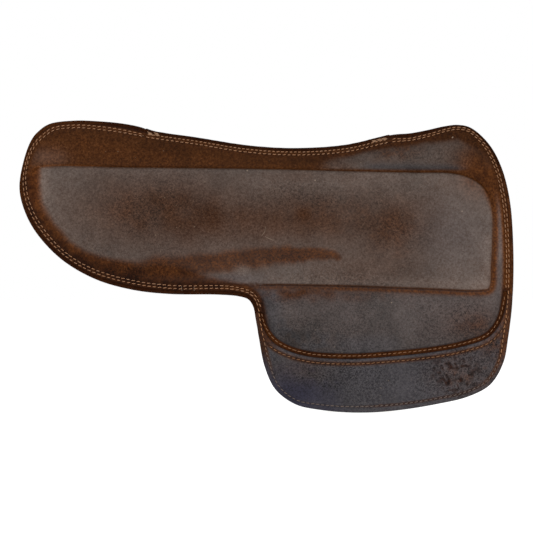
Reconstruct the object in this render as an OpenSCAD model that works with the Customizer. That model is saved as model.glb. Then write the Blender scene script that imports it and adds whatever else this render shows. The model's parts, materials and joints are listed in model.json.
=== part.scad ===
// Contoured leather saddle pad, folded along its spine.
// Two mirrored halves hang from a sewn spine zone and swing outwards about
// one fold line each. +X points to the withers end, +Z up, the off side is -Y.
// Each half is drawn flat in the X-Z plane and stacked outwards in layers.

/* [Overall] */
// Length of the pad, withers end to loin end
pad_l = 700; // [620:1:760]
// Height of one half, flap hem to the top of the loin lobe
pad_h = 414; // [370:1:450]
// How far each half stands open at rest, degrees from fully folded
rest_open = 4; // [0:0.5:10]
// Height of the fold line above the hem
fold_h = 354; // [350:1:356]
// Clear gap between the two folded halves
fold_gap = 2; // [1:0.1:4]

/* [Layers] */
// Thickness of the main leather cover
leather_t = 2.2; // [1.6:0.1:2.6]
// Thickness of the felt core
felt_t = 7; // [6:0.1:9]
// Thickness of the foam insert under the raised panel
insert_t = 5; // [3.5:0.1:7]
// Thickness of the wool lining against the back
lining_t = 1.8; // [1.2:0.1:2.4]
// Thickness of the felt in the spine zone
top_felt_t = 2; // [1.5:0.1:3]
// Thickness of the felt behind the flap band
flap_felt_t = 4; // [3:0.1:4.5]

/* [Edges and rows] */
// Width of the edge binding on the outer face
bind_w = 3.6; // [3:0.1:4.2]
// Width of the edge binding on the inner face
bind_in_w = 5; // [4.5:0.1:7]
// Distance of the outer stitch row from the edge
row_a = 6; // [5.5:0.1:6.8]
// Distance of the inner stitch row from the edge
row_b = 10; // [9.2:0.1:11]
// Distance of the lower flap row below the flap seam
row_c = 11.5; // [10:0.1:13]
// Width of one sewn row
thread_w = 1.0; // [0.6:0.1:1.2]
// Height a sewn row stands on the leather
thread_h = 0.7; // [0.4:0.1:1]

/* [Hidden] */

// Reference size the anchor points below are laid out at
ref_l = 700;
ref_h = 414;
sx = pad_l / ref_l;
sz = pad_h / ref_h;
steps = 5;          // straight pieces between two anchors
e = 0.05;           // air between neighbouring layers
big = 600;

// Layer levels, measured outwards from the middle plane
u0 = fold_gap / 2;
u_lin = u0 + lining_t;
u_felt = u_lin + 0.1;
u_cov = u_felt + felt_t + 0.1;        // back of the main cover
u_out = u_cov + leather_t;            // face of the main cover
u_tray = u_out + insert_t;            // face of the raised panel
u_top = u_felt + top_felt_t + 0.1;    // back of the spine-zone leather
u_topf = u_top + leather_t;           // face of the spine-zone leather
u_flap = u_felt + flap_felt_t + 0.1;  // back of the flap band
u_flapf = u_flap + leather_t;         // face of the flap band
u_welt = u_flapf + 1.2;               // face of the flap welt
u_axis = u_topf + 0.4;                // fold axis, just proud of the spine zone
fold_z = fold_h;
// The open halves rise a little on their inner edge: drop all to stand on z = 0
drop = -(fold_z * (1 - cos(rest_open)) - (u_axis - u0) * sin(rest_open));

// Seam: the two halves are sewn together between these stations
seam_x0 = -160 * sx;
seam_x1 = 184 * sx;

// Outline of one half, clockwise from the loin tip: [x, z]
OUTLINE = [
  // loin lobe
  [-350, 318], [-345, 354], [-333, 387], [-322, 400], [-307, 409.5],
  [-272, 414], [-237, 413], [-205, 410], [-179, 405],
  // sewn spine, dipping at the middle of the back
  [-160, 398.5], [-97, 389], [-27, 378], [44, 374], [114, 379], [180, 394],
  // withers lobe
  [204, 396], [226, 400], [253, 406], [272, 408], [290, 404], [315, 382],
  [333, 350], [345, 304],
  // front edge and flap
  [350, 240], [349, 165], [342, 105], [335, 70], [317, 40], [286, 23],
  [240, 12], [182, 3], [130, 0], [76, 4], [41, 12], [13, 33], [-2, 65],
  [-10, 105], [-15, 134],
  // inner corner between flap and loin part
  [-18, 149], [-25, 160], [-38, 164.5], [-67, 167],
  // underside of the loin part
  [-138, 168], [-190, 174], [-242, 189], [-290, 217], [-326, 255],
  [-343, 287]
];

// Raised panel over the foam insert, clockwise from its rear top corner
PANEL = [
  [-322, 346.4], [-180, 346.5], [5, 344], [122, 341], [212, 339], [262, 338],
  [289, 331], [305, 320], [314, 308], [319, 290], [320, 252], [318, 210],
  [315, 176], [308, 173.5], [218, 176], [121, 179.5], [30, 181.5],
  [-43, 182.5], [-82, 190], [-121, 200], [-168, 208], [-207, 210],
  [-241, 220], [-275, 242], [-304, 267], [-322, 298],
  [-332, 328], [-330.5, 341]
];

// Line of the flap seam, from the rear edge of the flap to the front edge
FLAP_SEAM = [
  [-7, 147], [-2, 123], [12, 103], [34, 90.5], [66, 82.5], [121, 80],
  [178, 83.5], [238, 90], [277, 97.5], [312, 110], [328, 130], [336, 158]
];

function place(a) = [for (p = a) [p[0] * sx, p[1] * sz]];

// Centripetal spline through anchors; closed or open
function seg(p0, p1, p2, p3, t) =
  let (a = max(0.001, pow(norm(p1 - p0), 0.5)),
       b = max(0.001, pow(norm(p2 - p1), 0.5)),
       c = max(0.001, pow(norm(p3 - p2), 0.5)),
       m1 = (p2 - p1) + b * ((p1 - p0) / a - (p2 - p0) / (a + b)),
       m2 = (p2 - p1) + b * ((p3 - p2) / c - (p3 - p1) / (b + c)),
       t2 = t * t, t3 = t * t * t)
  (2 * t3 - 3 * t2 + 1) * p1 + (t3 - 2 * t2 + t) * m1
  + (3 * t2 - 2 * t3) * p2 + (t3 - t2) * m2;
function closed_spline(a, n) =
  let (m = len(a))
  [for (i = [0 : m - 1]) for (k = [0 : n - 1])
    seg(a[(i + m - 1) % m], a[i], a[(i + 1) % m], a[(i + 2) % m], k / n)];
function open_spline(a, n) =
  let (m = len(a))
  concat([for (i = [0 : m - 2]) for (k = [0 : n - 1])
    seg(i == 0 ? 2 * a[0] - a[1] : a[i - 1], a[i], a[i + 1],
        i == m - 2 ? 2 * a[m - 1] - a[m - 2] : a[i + 2], k / n)], [a[m - 1]]);

// Move every point of a clockwise loop inwards by d
function inset(p, d) =
  let (m = len(p))
  [for (i = [0 : m - 1])
    let (q = p[(i + 1) % m] - p[(i + m - 1) % m])
    p[i] + d * [q[1], -q[0]] / norm(q)];
// Move an open curve to its left by d
function shift(p, d) =
  let (m = len(p))
  [for (i = [0 : m - 1])
    let (q = p[min(i + 1, m - 1)] - p[max(i - 1, 0)])
    p[i] + d * [-q[1], q[0]] / norm(q)];

EDGE = closed_spline(place(OUTLINE), steps);
TRAY = closed_spline(place(PANEL), 4);
SEAM = open_spline(place(FLAP_SEAM), 4);

// Flat regions of one half
module whole(d) { polygon(inset(EDGE, d)); }
module band(d0, d1) { difference() { whole(d0); whole(d1); } }
module over_fold() { translate([-big, fold_z + 0.4]) square([2 * big, big]); }
module under_fold() { translate([-big, -big]) square([2 * big, big + fold_z - 0.4]); }
module over_seam(k) {
  s = shift(SEAM, k);
  n = len(s) - 1;
  polygon(concat(s, [[big, s[n][1]], [big, big], [-big, big], [-big, s[0][1]]]));
}
module under_seam(k) {
  s = shift(SEAM, k);
  n = len(s) - 1;
  polygon(concat(s, [[big, s[n][1]], [big, -big], [-big, -big], [-big, s[0][1]]]));
}
module sewn_span() { translate([seam_x0, 0]) square([seam_x1 - seam_x0, big]); }
module lobe_spans() {
  translate([-big, 0]) square([big + seam_x0 - 0.5, big]);
  translate([seam_x1 + 0.5, 0]) square([big, big]);
}

// Stand a flat region up as a layer between levels a and b
module layer(a, b) {
  rotate([90, 0, 0]) translate([0, 0, a]) linear_extrude(height = b - a) children();
}
// Swing a half open about its fold axis, and mirror it for the near side
module off_half() {
  translate([0, -u_axis, fold_z + drop]) rotate([-rest_open, 0, 0])
    translate([0, u_axis, -fold_z]) children();
}
module near_half() { mirror([0, 1, 0]) off_half() children(); }
module off_top() { translate([0, 0, drop]) children(); }
module near_top() { mirror([0, 1, 0]) off_top() children(); }

// ---- spine zone, one half ----
module top_leather() {
  layer(u_top, u_topf) intersection() { whole(bind_w + 0.2); over_fold(); }
}
module top_felt() {
  layer(u_felt, u_felt + top_felt_t) intersection() { whole(bind_w + 0.2); over_fold(); }
}
module top_lining() {
  layer(u0, u_lin) intersection() { whole(bind_in_w + 0.2); over_fold(); }
}
// U-section strip folded round the free edge of both lobes
module lobe_binding() {
  layer(u0, u0 + 1.2) intersection() { band(0, bind_in_w); over_fold(); lobe_spans(); }
  layer(u0 + 0.6, u_topf + 0.2) intersection() { band(0, 2); over_fold(); lobe_spans(); }
  layer(u_topf - 1, u_topf + 0.2) intersection() { band(0, bind_w); over_fold(); lobe_spans(); }
}
module lobe_stitch() {
  layer(u_topf + e, u_topf + thread_h) intersection() {
    band(row_a - thread_w / 2, row_a + thread_w / 2); over_fold(); lobe_spans();
  }
}
module top_stitch() {
  layer(u_topf + e, u_topf + thread_h) intersection() {
    band(row_b - thread_w / 2, row_b + thread_w / 2); over_fold();
  }
}
// Upper row that joins the two halves along the sewn spine
module spine_stitch() {
  layer(u_topf + e, u_topf + thread_h) intersection() {
    band(row_a - thread_w / 2, row_a + thread_w / 2); over_fold();
    translate([seam_x0 + 13, 0]) square([seam_x1 - seam_x0 - 26, big]);
  }
}
// Back-tacked patch of thread closing one end of the seam
module tack_at(x0, x1) {
  layer(u_topf + e, u_topf + thread_h + 0.3) intersection() {
    band(row_a - 1.8, row_a + 1.4); over_fold(); translate([x0, 0]) square([x1 - x0, big]);
  }
}
module tacks() {
  tack_at(seam_x0 + 0.5, seam_x0 + 12.5);
  tack_at(seam_x1 - 12.5, seam_x1 - 0.5);
}

// ---- hanging part of one half ----
// Leather moulded up over the insert: a flat sheet with a raised, hollow panel
module cover() {
  difference() {
    union() {
      layer(u_cov, u_out) intersection() { whole(bind_w + 0.2); under_fold(); over_seam(2.6); }
      layer(u_cov, u_tray) polygon(TRAY);
    }
    layer(u_cov - 1, u_tray - leather_t) polygon(inset(TRAY, leather_t));
  }
}
module foam_insert() {
  layer(u_cov, u_tray - leather_t - 0.1) polygon(inset(TRAY, leather_t + 0.2));
}
module felt_core() {
  layer(u_felt, u_felt + felt_t) intersection() { whole(bind_w + 0.2); under_fold(); over_seam(2.6); }
}
module lining() {
  layer(u0, u_lin) intersection() { whole(bind_in_w + 0.2); under_fold(); }
}
module edge_binding() {
  layer(u0, u0 + 1.2) intersection() { band(0, bind_in_w); under_fold(); over_seam(2.6); }
  layer(u0 + 0.6, u_out + 0.2) intersection() { band(0, 2); under_fold(); over_seam(2.6); }
  layer(u_out - 1, u_out + 0.2) intersection() { band(0, bind_w); under_fold(); over_seam(2.6); }
}
// Narrow leather strip in the groove of the flap seam
module flap_welt() {
  layer(u_flap, u_welt) intersection() { whole(2); over_seam(-4); under_seam(2.4); }
}
module flap_band() {
  layer(u_flap, u_flapf) intersection() { whole(0); under_seam(-4.2); }
}
module flap_felt() {
  layer(u_felt, u_felt + flap_felt_t) intersection() { whole(2); under_seam(2.4); }
}
module stitch_outer() {
  layer(u_out + e, u_out + thread_h) intersection() {
    band(row_a - thread_w / 2, row_a + thread_w / 2); under_fold(); over_seam(2.8);
  }
}
module stitch_inner() {
  layer(u_out + e, u_out + thread_h) intersection() {
    band(row_b - thread_w / 2, row_b + thread_w / 2); under_fold(); over_seam(2.8);
  }
}
module stitch_seam() {
  layer(u_welt + e, u_welt + thread_h) intersection() {
    whole(row_b - thread_w / 2); over_seam(-thread_w / 2); under_seam(thread_w / 2);
  }
}
module stitch_band() {
  layer(u_flapf + e, u_flapf + thread_h) intersection() {
    whole(row_a + thread_w); over_seam(-row_c - thread_w / 2); under_seam(-row_c + thread_w / 2);
  }
}
module stitch_hem() {
  layer(u_flapf + e, u_flapf + thread_h) intersection() {
    band(row_a - thread_w / 2, row_a + thread_w / 2); under_seam(-4.6);
  }
}

// ---- nodes ----
cover_col = [0.36, 0.29, 0.25];
top_col = [0.33, 0.18, 0.09];
edge_col = [0.20, 0.10, 0.05];
flap_col = [0.30, 0.28, 0.28];
felt_col = [0.62, 0.57, 0.50];
foam_col = [0.30, 0.31, 0.33];
lining_col = [0.74, 0.69, 0.60];
thread_col = [0.76, 0.58, 0.42];

// Rolled strip between the halves, showing as a bead along the spine
module spine_welt() {
  color(edge_col) off_top() {
    layer(-u0 + e, u0 - e) intersection() { band(0, 13); sewn_span(); over_fold(); }
    layer(-3.2, 3.2) intersection() { band(0, 3.4); sewn_span(); over_fold(); }
  }
}
module seam_end_tacks() { color(thread_col) { off_top() tacks(); near_top() tacks(); } }
module spine_stitch_off() { color(thread_col) off_top() spine_stitch(); }
module spine_stitch_near() { color(thread_col) near_top() spine_stitch(); }

spine_welt();
seam_end_tacks();
spine_stitch_off();
spine_stitch_near();

color(top_col) off_top() top_leather();  // off_top_leather
color(felt_col) off_top() top_felt();  // off_top_felt
color(lining_col) off_top() top_lining();  // off_top_lining
color(edge_col) off_top() lobe_binding();  // off_lobe_binding
color(thread_col) off_top() lobe_stitch();  // off_lobe_stitch
color(thread_col) off_top() top_stitch();  // off_top_stitch

color(top_col) near_top() top_leather();  // near_top_leather
color(felt_col) near_top() top_felt();  // near_top_felt
color(lining_col) near_top() top_lining();  // near_top_lining
color(edge_col) near_top() lobe_binding();  // near_lobe_binding
color(thread_col) near_top() lobe_stitch();  // near_lobe_stitch
color(thread_col) near_top() top_stitch();  // near_top_stitch

color(cover_col) off_half() cover();  // off_leather
color(foam_col) off_half() foam_insert();  // off_foam_insert
color(felt_col) off_half() felt_core();  // off_felt_core
color(lining_col) off_half() lining();  // off_lining
color(edge_col) off_half() edge_binding();  // off_edge_binding
color(edge_col) off_half() flap_welt();  // off_flap_welt
color(flap_col) off_half() flap_band();  // off_flap_band
color(felt_col) off_half() flap_felt();  // off_flap_felt
color(thread_col) off_half() stitch_outer();  // off_stitch_outer
color(thread_col) off_half() stitch_inner();  // off_stitch_inner
color(thread_col) off_half() stitch_seam();  // off_stitch_seam
color(thread_col) off_half() stitch_band();  // off_stitch_band
color(thread_col) off_half() stitch_hem();  // off_stitch_hem

color(cover_col) near_half() cover();  // near_leather
color(foam_col) near_half() foam_insert();  // near_foam_insert
color(felt_col) near_half() felt_core();  // near_felt_core
color(lining_col) near_half() lining();  // near_lining
color(edge_col) near_half() edge_binding();  // near_edge_binding
color(edge_col) near_half() flap_welt();  // near_flap_welt
color(flap_col) near_half() flap_band();  // near_flap_band
color(felt_col) near_half() flap_felt();  // near_flap_felt
color(thread_col) near_half() stitch_outer();  // near_stitch_outer
color(thread_col) near_half() stitch_inner();  // near_stitch_inner
color(thread_col) near_half() stitch_seam();  // near_stitch_seam
color(thread_col) near_half() stitch_band();  // near_stitch_band
color(thread_col) near_half() stitch_hem();  // near_stitch_hem
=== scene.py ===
import json
import math

import bpy
import numpy as np
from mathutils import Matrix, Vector
from mathutils.bvhtree import BVHTree
from mathutils.geometry import delaunay_2d_cdt
from mathutils.kdtree import KDTree

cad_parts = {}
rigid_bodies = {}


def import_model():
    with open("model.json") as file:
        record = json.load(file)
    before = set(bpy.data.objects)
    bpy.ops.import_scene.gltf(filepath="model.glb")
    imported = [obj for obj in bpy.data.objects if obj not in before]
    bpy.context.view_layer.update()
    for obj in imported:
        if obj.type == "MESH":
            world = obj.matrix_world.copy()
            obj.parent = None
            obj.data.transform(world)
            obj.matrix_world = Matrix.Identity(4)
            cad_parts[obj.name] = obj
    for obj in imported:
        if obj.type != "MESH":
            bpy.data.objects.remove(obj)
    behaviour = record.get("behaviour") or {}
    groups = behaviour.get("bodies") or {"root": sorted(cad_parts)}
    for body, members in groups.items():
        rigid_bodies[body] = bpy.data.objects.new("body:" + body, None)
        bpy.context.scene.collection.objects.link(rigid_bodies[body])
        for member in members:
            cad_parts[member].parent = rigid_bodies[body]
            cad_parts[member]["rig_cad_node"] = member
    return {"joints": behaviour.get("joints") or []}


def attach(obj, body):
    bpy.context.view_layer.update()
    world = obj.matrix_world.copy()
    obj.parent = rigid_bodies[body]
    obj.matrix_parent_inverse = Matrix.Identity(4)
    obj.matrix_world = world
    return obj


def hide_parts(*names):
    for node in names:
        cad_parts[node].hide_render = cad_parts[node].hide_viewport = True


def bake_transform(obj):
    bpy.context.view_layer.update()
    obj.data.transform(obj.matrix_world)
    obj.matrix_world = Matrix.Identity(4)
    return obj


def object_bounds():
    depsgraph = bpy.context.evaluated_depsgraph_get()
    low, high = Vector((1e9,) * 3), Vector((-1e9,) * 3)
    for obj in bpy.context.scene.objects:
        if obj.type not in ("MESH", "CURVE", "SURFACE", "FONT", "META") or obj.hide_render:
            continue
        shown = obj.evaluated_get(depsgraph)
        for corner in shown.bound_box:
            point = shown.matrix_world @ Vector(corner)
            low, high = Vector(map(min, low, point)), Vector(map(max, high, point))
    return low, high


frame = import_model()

for _o in list(bpy.data.objects):          # whatever Blender's start-up scene holds
    if not _o.name.startswith("body:") and "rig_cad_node" not in _o:
        bpy.data.objects.remove(_o)
CAD_BOX = [list(v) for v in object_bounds()]
RNG = np.random.default_rng(20261)
TAU = 2 * math.pi

# ---------------------------------------------------------------- frame facts
JOINT = {j["name"]: j for j in frame["joints"]}
HINGE = JOINT["off_side_fold"]
U_AXIS = abs(HINGE["pos_m"][1]) * 1000          # fold axis, out from the middle plane
FOLD_WORLD = HINGE["pos_m"][2] * 1000           # its height at rest
REST = -HINGE["range_deg"][0]                   # how far each side stands open at rest
FOLD = 354.0                                    # its height on the folded, flat sheet
DROP = FOLD_WORLD - FOLD
BOX_LO, BOX_HI = CAD_BOX
SX = (BOX_HI[0] - BOX_LO[0]) * 1000 / 700.4     # follows the CAD's length
U_IN = 1.0                                      # inner face of a folded half
U_LIN = 2.7                                     # back of the lining
Z_BEND0, Z_BEND1 = 365.0, 341.0                 # leather bends between these heights

# ---------------------------------------------------------------- flat design, mm
OUTLINE = [
    (-350, 318), (-345, 354), (-333, 387), (-322, 400), (-307, 409.5),
    (-272, 414), (-237, 413), (-205, 410), (-179, 405),
    (-160, 398.5), (-97, 389), (-27, 378), (44, 374), (114, 379), (180, 394),
    (204, 396), (226, 400), (253, 406), (272, 408), (290, 404), (315, 382),
    (333, 350), (345, 304), (350, 240), (349, 165), (342, 105), (335, 70),
    (317, 40), (286, 23), (240, 12), (182, 3), (130, 0), (76, 4), (41, 12),
    (13, 33), (-2, 65), (-10, 105), (-15, 134), (-18, 149), (-25, 160),
    (-38, 164.5), (-67, 167), (-138, 168), (-190, 174), (-242, 189),
    (-290, 217), (-326, 255), (-343, 287)]
PANEL = [
    (-322, 346.4), (-180, 346.5), (5, 344), (122, 341), (212, 339), (262, 338),
    (289, 331), (305, 320), (314, 308), (319, 290), (320, 252), (318, 210),
    (315, 176), (308, 173.5), (218, 176), (121, 179.5), (30, 181.5),
    (-43, 182.5), (-82, 190), (-121, 200), (-168, 208), (-207, 210),
    (-241, 220), (-275, 242), (-304, 267), (-322, 298), (-332, 328), (-330.5, 341)]
FLAP_SEAM = [
    (-8, 158), (-6.5, 142), (-1.5, 123), (12, 103), (34, 90.5), (66, 82.5),
    (121, 80), (178, 83.5), (238, 90), (277, 97.5), (312, 110), (328, 130),
    (336, 158), (339.5, 190)]


def spline(anchors, n, closed):
    a = np.array(anchors, float)
    a[:, 0] *= SX
    m = len(a)
    out = []
    for i in range(m if closed else m - 1):
        p1, p2 = a[i], a[(i + 1) % m]
        p0 = a[i - 1] if closed or i else 2 * a[0] - a[1]
        p3 = a[(i + 2) % m] if closed or i < m - 2 else 2 * a[-1] - a[-2]
        da, db, dc = (max(1e-3, np.linalg.norm(q) ** 0.5) for q in (p1 - p0, p2 - p1, p3 - p2))
        m1 = (p2 - p1) + db * ((p1 - p0) / da - (p2 - p0) / (da + db))
        m2 = (p2 - p1) + db * ((p3 - p2) / dc - (p3 - p1) / (db + dc))
        t = (np.arange(n) / n)[:, None]
        t2, t3 = t * t, t * t * t
        out.append((2 * t3 - 3 * t2 + 1) * p1 + (t3 - 2 * t2 + t) * m1
                   + (3 * t2 - 2 * t3) * p2 + (t3 - t2) * m2)
    if not closed:
        out.append(a[-1:])
    return np.vstack(out)


def smooth1(v, k, closed):
    """Gaussian smoothing of samples along a curve."""
    r = int(3 * k) + 1
    g = np.exp(-0.5 * (np.arange(-r, r + 1) / k) ** 2)
    g /= g.sum()
    pad = np.concatenate([v[-r:], v, v[:r]]) if closed else np.pad(v, r, mode="edge")
    return np.convolve(pad, g, mode="valid")


class Curve:
    """A dense curve with arc length, a normal to its right, and nearest-point lookups."""

    def __init__(self, pts, closed, step=0.5):
        p = np.vstack([pts, pts[:1]]) if closed else np.array(pts)
        c = np.r_[0, np.cumsum(np.hypot(*np.diff(p, axis=0).T))]
        self.length = c[-1]
        n = int(round(self.length / step))
        s = np.linspace(0, self.length, n, endpoint=not closed)
        self.p = np.c_[np.interp(s, c, p[:, 0]), np.interp(s, c, p[:, 1])]
        self.s, self.closed = s, closed
        if closed:
            t = np.roll(self.p, -1, 0) - np.roll(self.p, 1, 0)
            t = np.c_[smooth1(t[:, 0], 2, True), smooth1(t[:, 1], 2, True)]
        else:
            t = np.gradient(self.p, axis=0)
        self.t = t / np.linalg.norm(t, axis=1)[:, None]
        self.n = np.c_[self.t[:, 1], -self.t[:, 0]]
        kd = KDTree(len(self.p))
        for i, q in enumerate(self.p):
            kd.insert((q[0], q[1], 0), i)
        kd.balance()
        self.kd = kd

    def near(self, q):
        """signed distance to the right of the curve, and arc length, for each point"""
        i = np.fromiter((self.kd.find((x, y, 0))[1] for x, y in q), int, len(q))
        v = q - self.p[i]
        across = (v * self.n[i]).sum(1)
        along = (v * self.t[i]).sum(1)
        dist = np.hypot(*v.T)
        sign = np.where(across >= 0, 1.0, -1.0)
        return sign * np.maximum(np.abs(across), np.where(dist > np.abs(across) + 0.6, dist, 0)), self.s[i] + along

    def at(self, s):
        """point, tangent and right normal at arc lengths s"""
        if self.closed:
            s = np.mod(s, self.length)
            ss = np.r_[self.s, self.length]
            w = lambda a: np.r_[a, a[:1]]
        else:
            ss, w = self.s, lambda a: a
        f = lambda a: np.c_[np.interp(s, ss, w(a[:, 0])), np.interp(s, ss, w(a[:, 1]))]
        t = f(self.t)
        t /= np.linalg.norm(t, axis=1)[:, None]
        return f(self.p), t, np.c_[t[:, 1], -t[:, 0]]

    def loop(self, d, step, s0=None, s1=None):
        """points at distance d to the right of the curve"""
        a, b = (0, self.length) if s0 is None else (s0, s1)
        n = max(2, int(round((b - a) / step)))
        s = np.linspace(a, b, n, endpoint=not (self.closed and s0 is None))
        p, _, nr = self.at(s)
        dd = d(s) if callable(d) else d
        return p + (dd[:, None] if np.ndim(dd) else dd) * nr


RIM = Curve(spline(OUTLINE, 12, True), True)
RIDGE = Curve(spline(PANEL, 10, True), True)
SEAM = Curve(spline(FLAP_SEAM, 12, False), False)
PER = RIM.length
K = PER / 1375.0            # design table below is in 1375ths of the perimeter

# Distances of the two edge rows from the rim: [station, outer row, inner row]
ROW_TABLE = np.array([
    (0, 4.3, 7.3), (12, 3.0, 5.5), (27, 2.3, 4.4), (40, 2.9, 5.0), (52, 4.8, 7.2),
    (64, 5.6, 8.3), (76, 4.9, 7.5), (88, 4.2, 6.8), (112, 4.6, 7.4), (137, 5.7, 8.6),
    (162, 6.7, 9.0), (172, 6.6, 8.4), (178, 3.1, 6.3), (200, 3.1, 6.0), (300, 3.2, 6.1),
    (408, 3.2, 6.3), (418, 3.6, 6.8), (430, 5.0, 7.2), (440, 4.9, 7.0), (462, 4.0, 6.2),
    (480, 2.8, 4.9), (491, 2.1, 4.2), (512, 2.7, 4.8), (525, 3.2, 5.4), (550, 4.2, 6.6),
    (575, 4.7, 7.4), (600, 4.8, 7.4), (650, 4.7, 7.2), (690, 4.8, 7.4), (800, 4.8, 7.5),
    (850, 5.4, 8.0), (900, 6.0, 8.5), (925, 5.6, 8.2), (950, 5.0, 8.0), (982, 4.0, 7.0),
    (1005, 4.7, 7.5), (1025, 5.4, 8.0), (1045, 4.8, 7.6), (1062, 3.9, 7.0), (1080, 4.0, 6.4),
    (1100, 5.6, 7.9), (1120, 6.3, 9.0), (1137, 5.8, 8.5), (1160, 5.2, 8.2), (1200, 6.0, 8.8),
    (1220, 6.2, 9.0), (1245, 5.7, 8.7), (1270, 4.9, 7.7), (1300, 5.0, 7.8), (1330, 5.3, 8.3),
    (1375, 4.3, 7.3)])
_s = RIM.s
_ra = smooth1(np.interp(_s / K, ROW_TABLE[:, 0], ROW_TABLE[:, 1]) * 1.42, 14, True)
_rb = smooth1(np.interp(_s / K, ROW_TABLE[:, 0], ROW_TABLE[:, 2]) * 1.42, 14, True)
SEW0, SEW1 = 174 * K, 417.5 * K      # sewn spine
BAND0, BAND1 = 677 * K, 1084 * K     # flap hem, from front edge to rear edge


def row_a(s):
    return np.interp(np.mod(s, PER), _s, _ra, period=PER)


def row_b(s):
    return np.interp(np.mod(s, PER), _s, _rb, period=PER)


def sstep(a, b, x):
    t = np.clip((x - a) / (b - a), 0, 1)
    return t * t * (3 - 2 * t)


def bell(x, w):
    return np.exp(-(x / w) ** 2)


def sew_amount(s):
    """1 along the sewn spine, 0 elsewhere on the rim"""
    s = np.mod(s, PER)
    return sstep(SEW0 - 7, SEW0 + 7, s) * (1 - sstep(SEW1 - 7, SEW1 + 7, s))


def hem_amount(s):
    s = np.mod(s, PER)
    return sstep(BAND0 - 8, BAND0 + 8, s) * (1 - sstep(BAND1 - 8, BAND1 + 8, s))


def vnoise(q, scale, seed):
    """smooth value noise in the sheet plane, -1 to 1"""
    g = np.random.default_rng(seed).uniform(-1, 1, (96, 96))
    x = q[:, 0] / scale + 30.5
    y = q[:, 1] / scale + 10.5
    i, j = np.floor(x).astype(int), np.floor(y).astype(int)
    fx, fy = x - i, y - j
    fx, fy = fx * fx * (3 - 2 * fx), fy * fy * (3 - 2 * fy)
    i, j = i % 95, j % 95
    return ((g[i, j] * (1 - fx) + g[i + 1, j] * fx) * (1 - fy)
            + (g[i, j + 1] * (1 - fx) + g[i + 1, j + 1] * fx) * fy)


# ---------------------------------------------------------------- surface of one half
def fields(q):
    """distances used by the height and the colour masks"""
    f = {}
    f["d"], f["s"] = RIM.near(q)
    f["p"], f["ps"] = RIDGE.near(q)          # + inside the raised panel
    f["u"], f["us"] = SEAM.near(q)
    f["u"] = -f["u"]                         # + above the flap seam
    # past the seam's ends a point belongs to the side it is on
    f["u"] = np.where((q[:, 1] > 192) & (q[:, 0] > 0), np.abs(f["u"]) + 20, f["u"])
    f["u"] = np.where((q[:, 0] < -8) & (q[:, 1] > 142), np.abs(f["u"]) + 20, f["u"])
    return f


def panel_step(q, f):
    """0 outside, 1 on the raised panel, with a crisp top, front and bottom edge and a soft loin edge"""
    x, z = q.T
    soft = sstep(-70, -130, x) * sstep(338, 326, z)
    w_out = 2.9 + 12 * soft + 2.6 * sstep(314, 320, x) * sstep(190, 215, z)
    w_in = 2.0 + 9 * soft
    return sstep(-w_out, w_in, f["p"])


def height(q, f, sim=None):
    """outer face of the leather, mm out from the middle plane, on the folded sheet"""
    x, z = q.T
    d, s = f["d"], f["s"]
    sew, hem = sew_amount(s), hem_amount(s)
    full = 7.6 + (12.2 - 7.6) * sstep(368, 334, z)
    fade = np.where(x < 100, sstep(141, 108, z), sstep(191, 145, z))
    full = full - (12.2 - 8.6) * sstep(16, -3, f["u"]) * fade
    edge = 5.7 + (4.5 - 5.7) * sew + (5.0 - 5.7) * hem
    a = row_a(s)
    reach = 27 - 8 * sew - 10 * hem
    t = np.clip((d - 1) / reach, 0, 1)
    h = edge + (full - edge) * (1 - (1 - t) ** 2.4)
    # sewn rows bite in, and the leather swells inside them
    b = row_b(s)
    bite = 1 - hem
    h = h - 0.85 * bell(d - a, 1.25)
    h = h - 0.95 * bell(d - b, 1.35) * bite
    h = h + 0.55 * bell(d - b - 6.5, 4.2) * bite * (1 - sew)
    h = h + 0.25 * bell(d - a + 2.6, 1.6) * (1 - sew)
    # raised panel and the valley round it
    ps = panel_step(q, f)
    crisp = 1 - sstep(-70, -130, x) * sstep(338, 326, z)
    h = h + 5.0 * ps - (0.9 - 0.55 * sstep(312, 318, x)) * bell(f["p"] + 5.2, 3.2) * crisp * sstep(8, 16, d) * sstep(340, 325, z)
    h = h + 0.35 * bell(f["p"] - 4.5, 3.5) * crisp
    # flap seam: groove at the upper row, a rounded lip, then a narrow groove at the lower row
    g = ((z < 195) & (x > -20)) * sstep(8, 24, f["us"]) * (1 - sstep(SEAM.length - 24, SEAM.length - 8, f["us"]))
    h = h - g * 1.5 * bell(f["u"] - 0.2, 2.9)
    h = h + g * 0.75 * bell(f["u"] + 7.2, 2.2)
    h = h - g * 1.15 * bell(f["u"] + 11.5, 1.3)
    h = h + g * 0.8 * bell(f["u"] - 9.5, 4.6) * sstep(4, 10, d)
    # handling: slow waves, more on the soft flap
    loose = sstep(10, 40, d)
    h = h + loose * (0.35 * vnoise(q, 62, 5) + 0.16 * vnoise(q, 27, 6))
    h = h + loose * 0.12 * vnoise(q, 11, 7) * (0.4 + 0.9 * sstep(180, 120, z))
    # dents and light creases left by use
    for cx, cz, dx, dz, ln, wd, dp in CREASES:
        lx = (x - cx) * dx + (z - cz) * dz
        lz = -(x - cx) * dz + (z - cz) * dx + 0.02 * lx * lx / max(ln, 1)
        h = h - dp * bell(lx, ln) * bell(lz, wd)
    if sim is not None:
        h = h + sim
    return h


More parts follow.
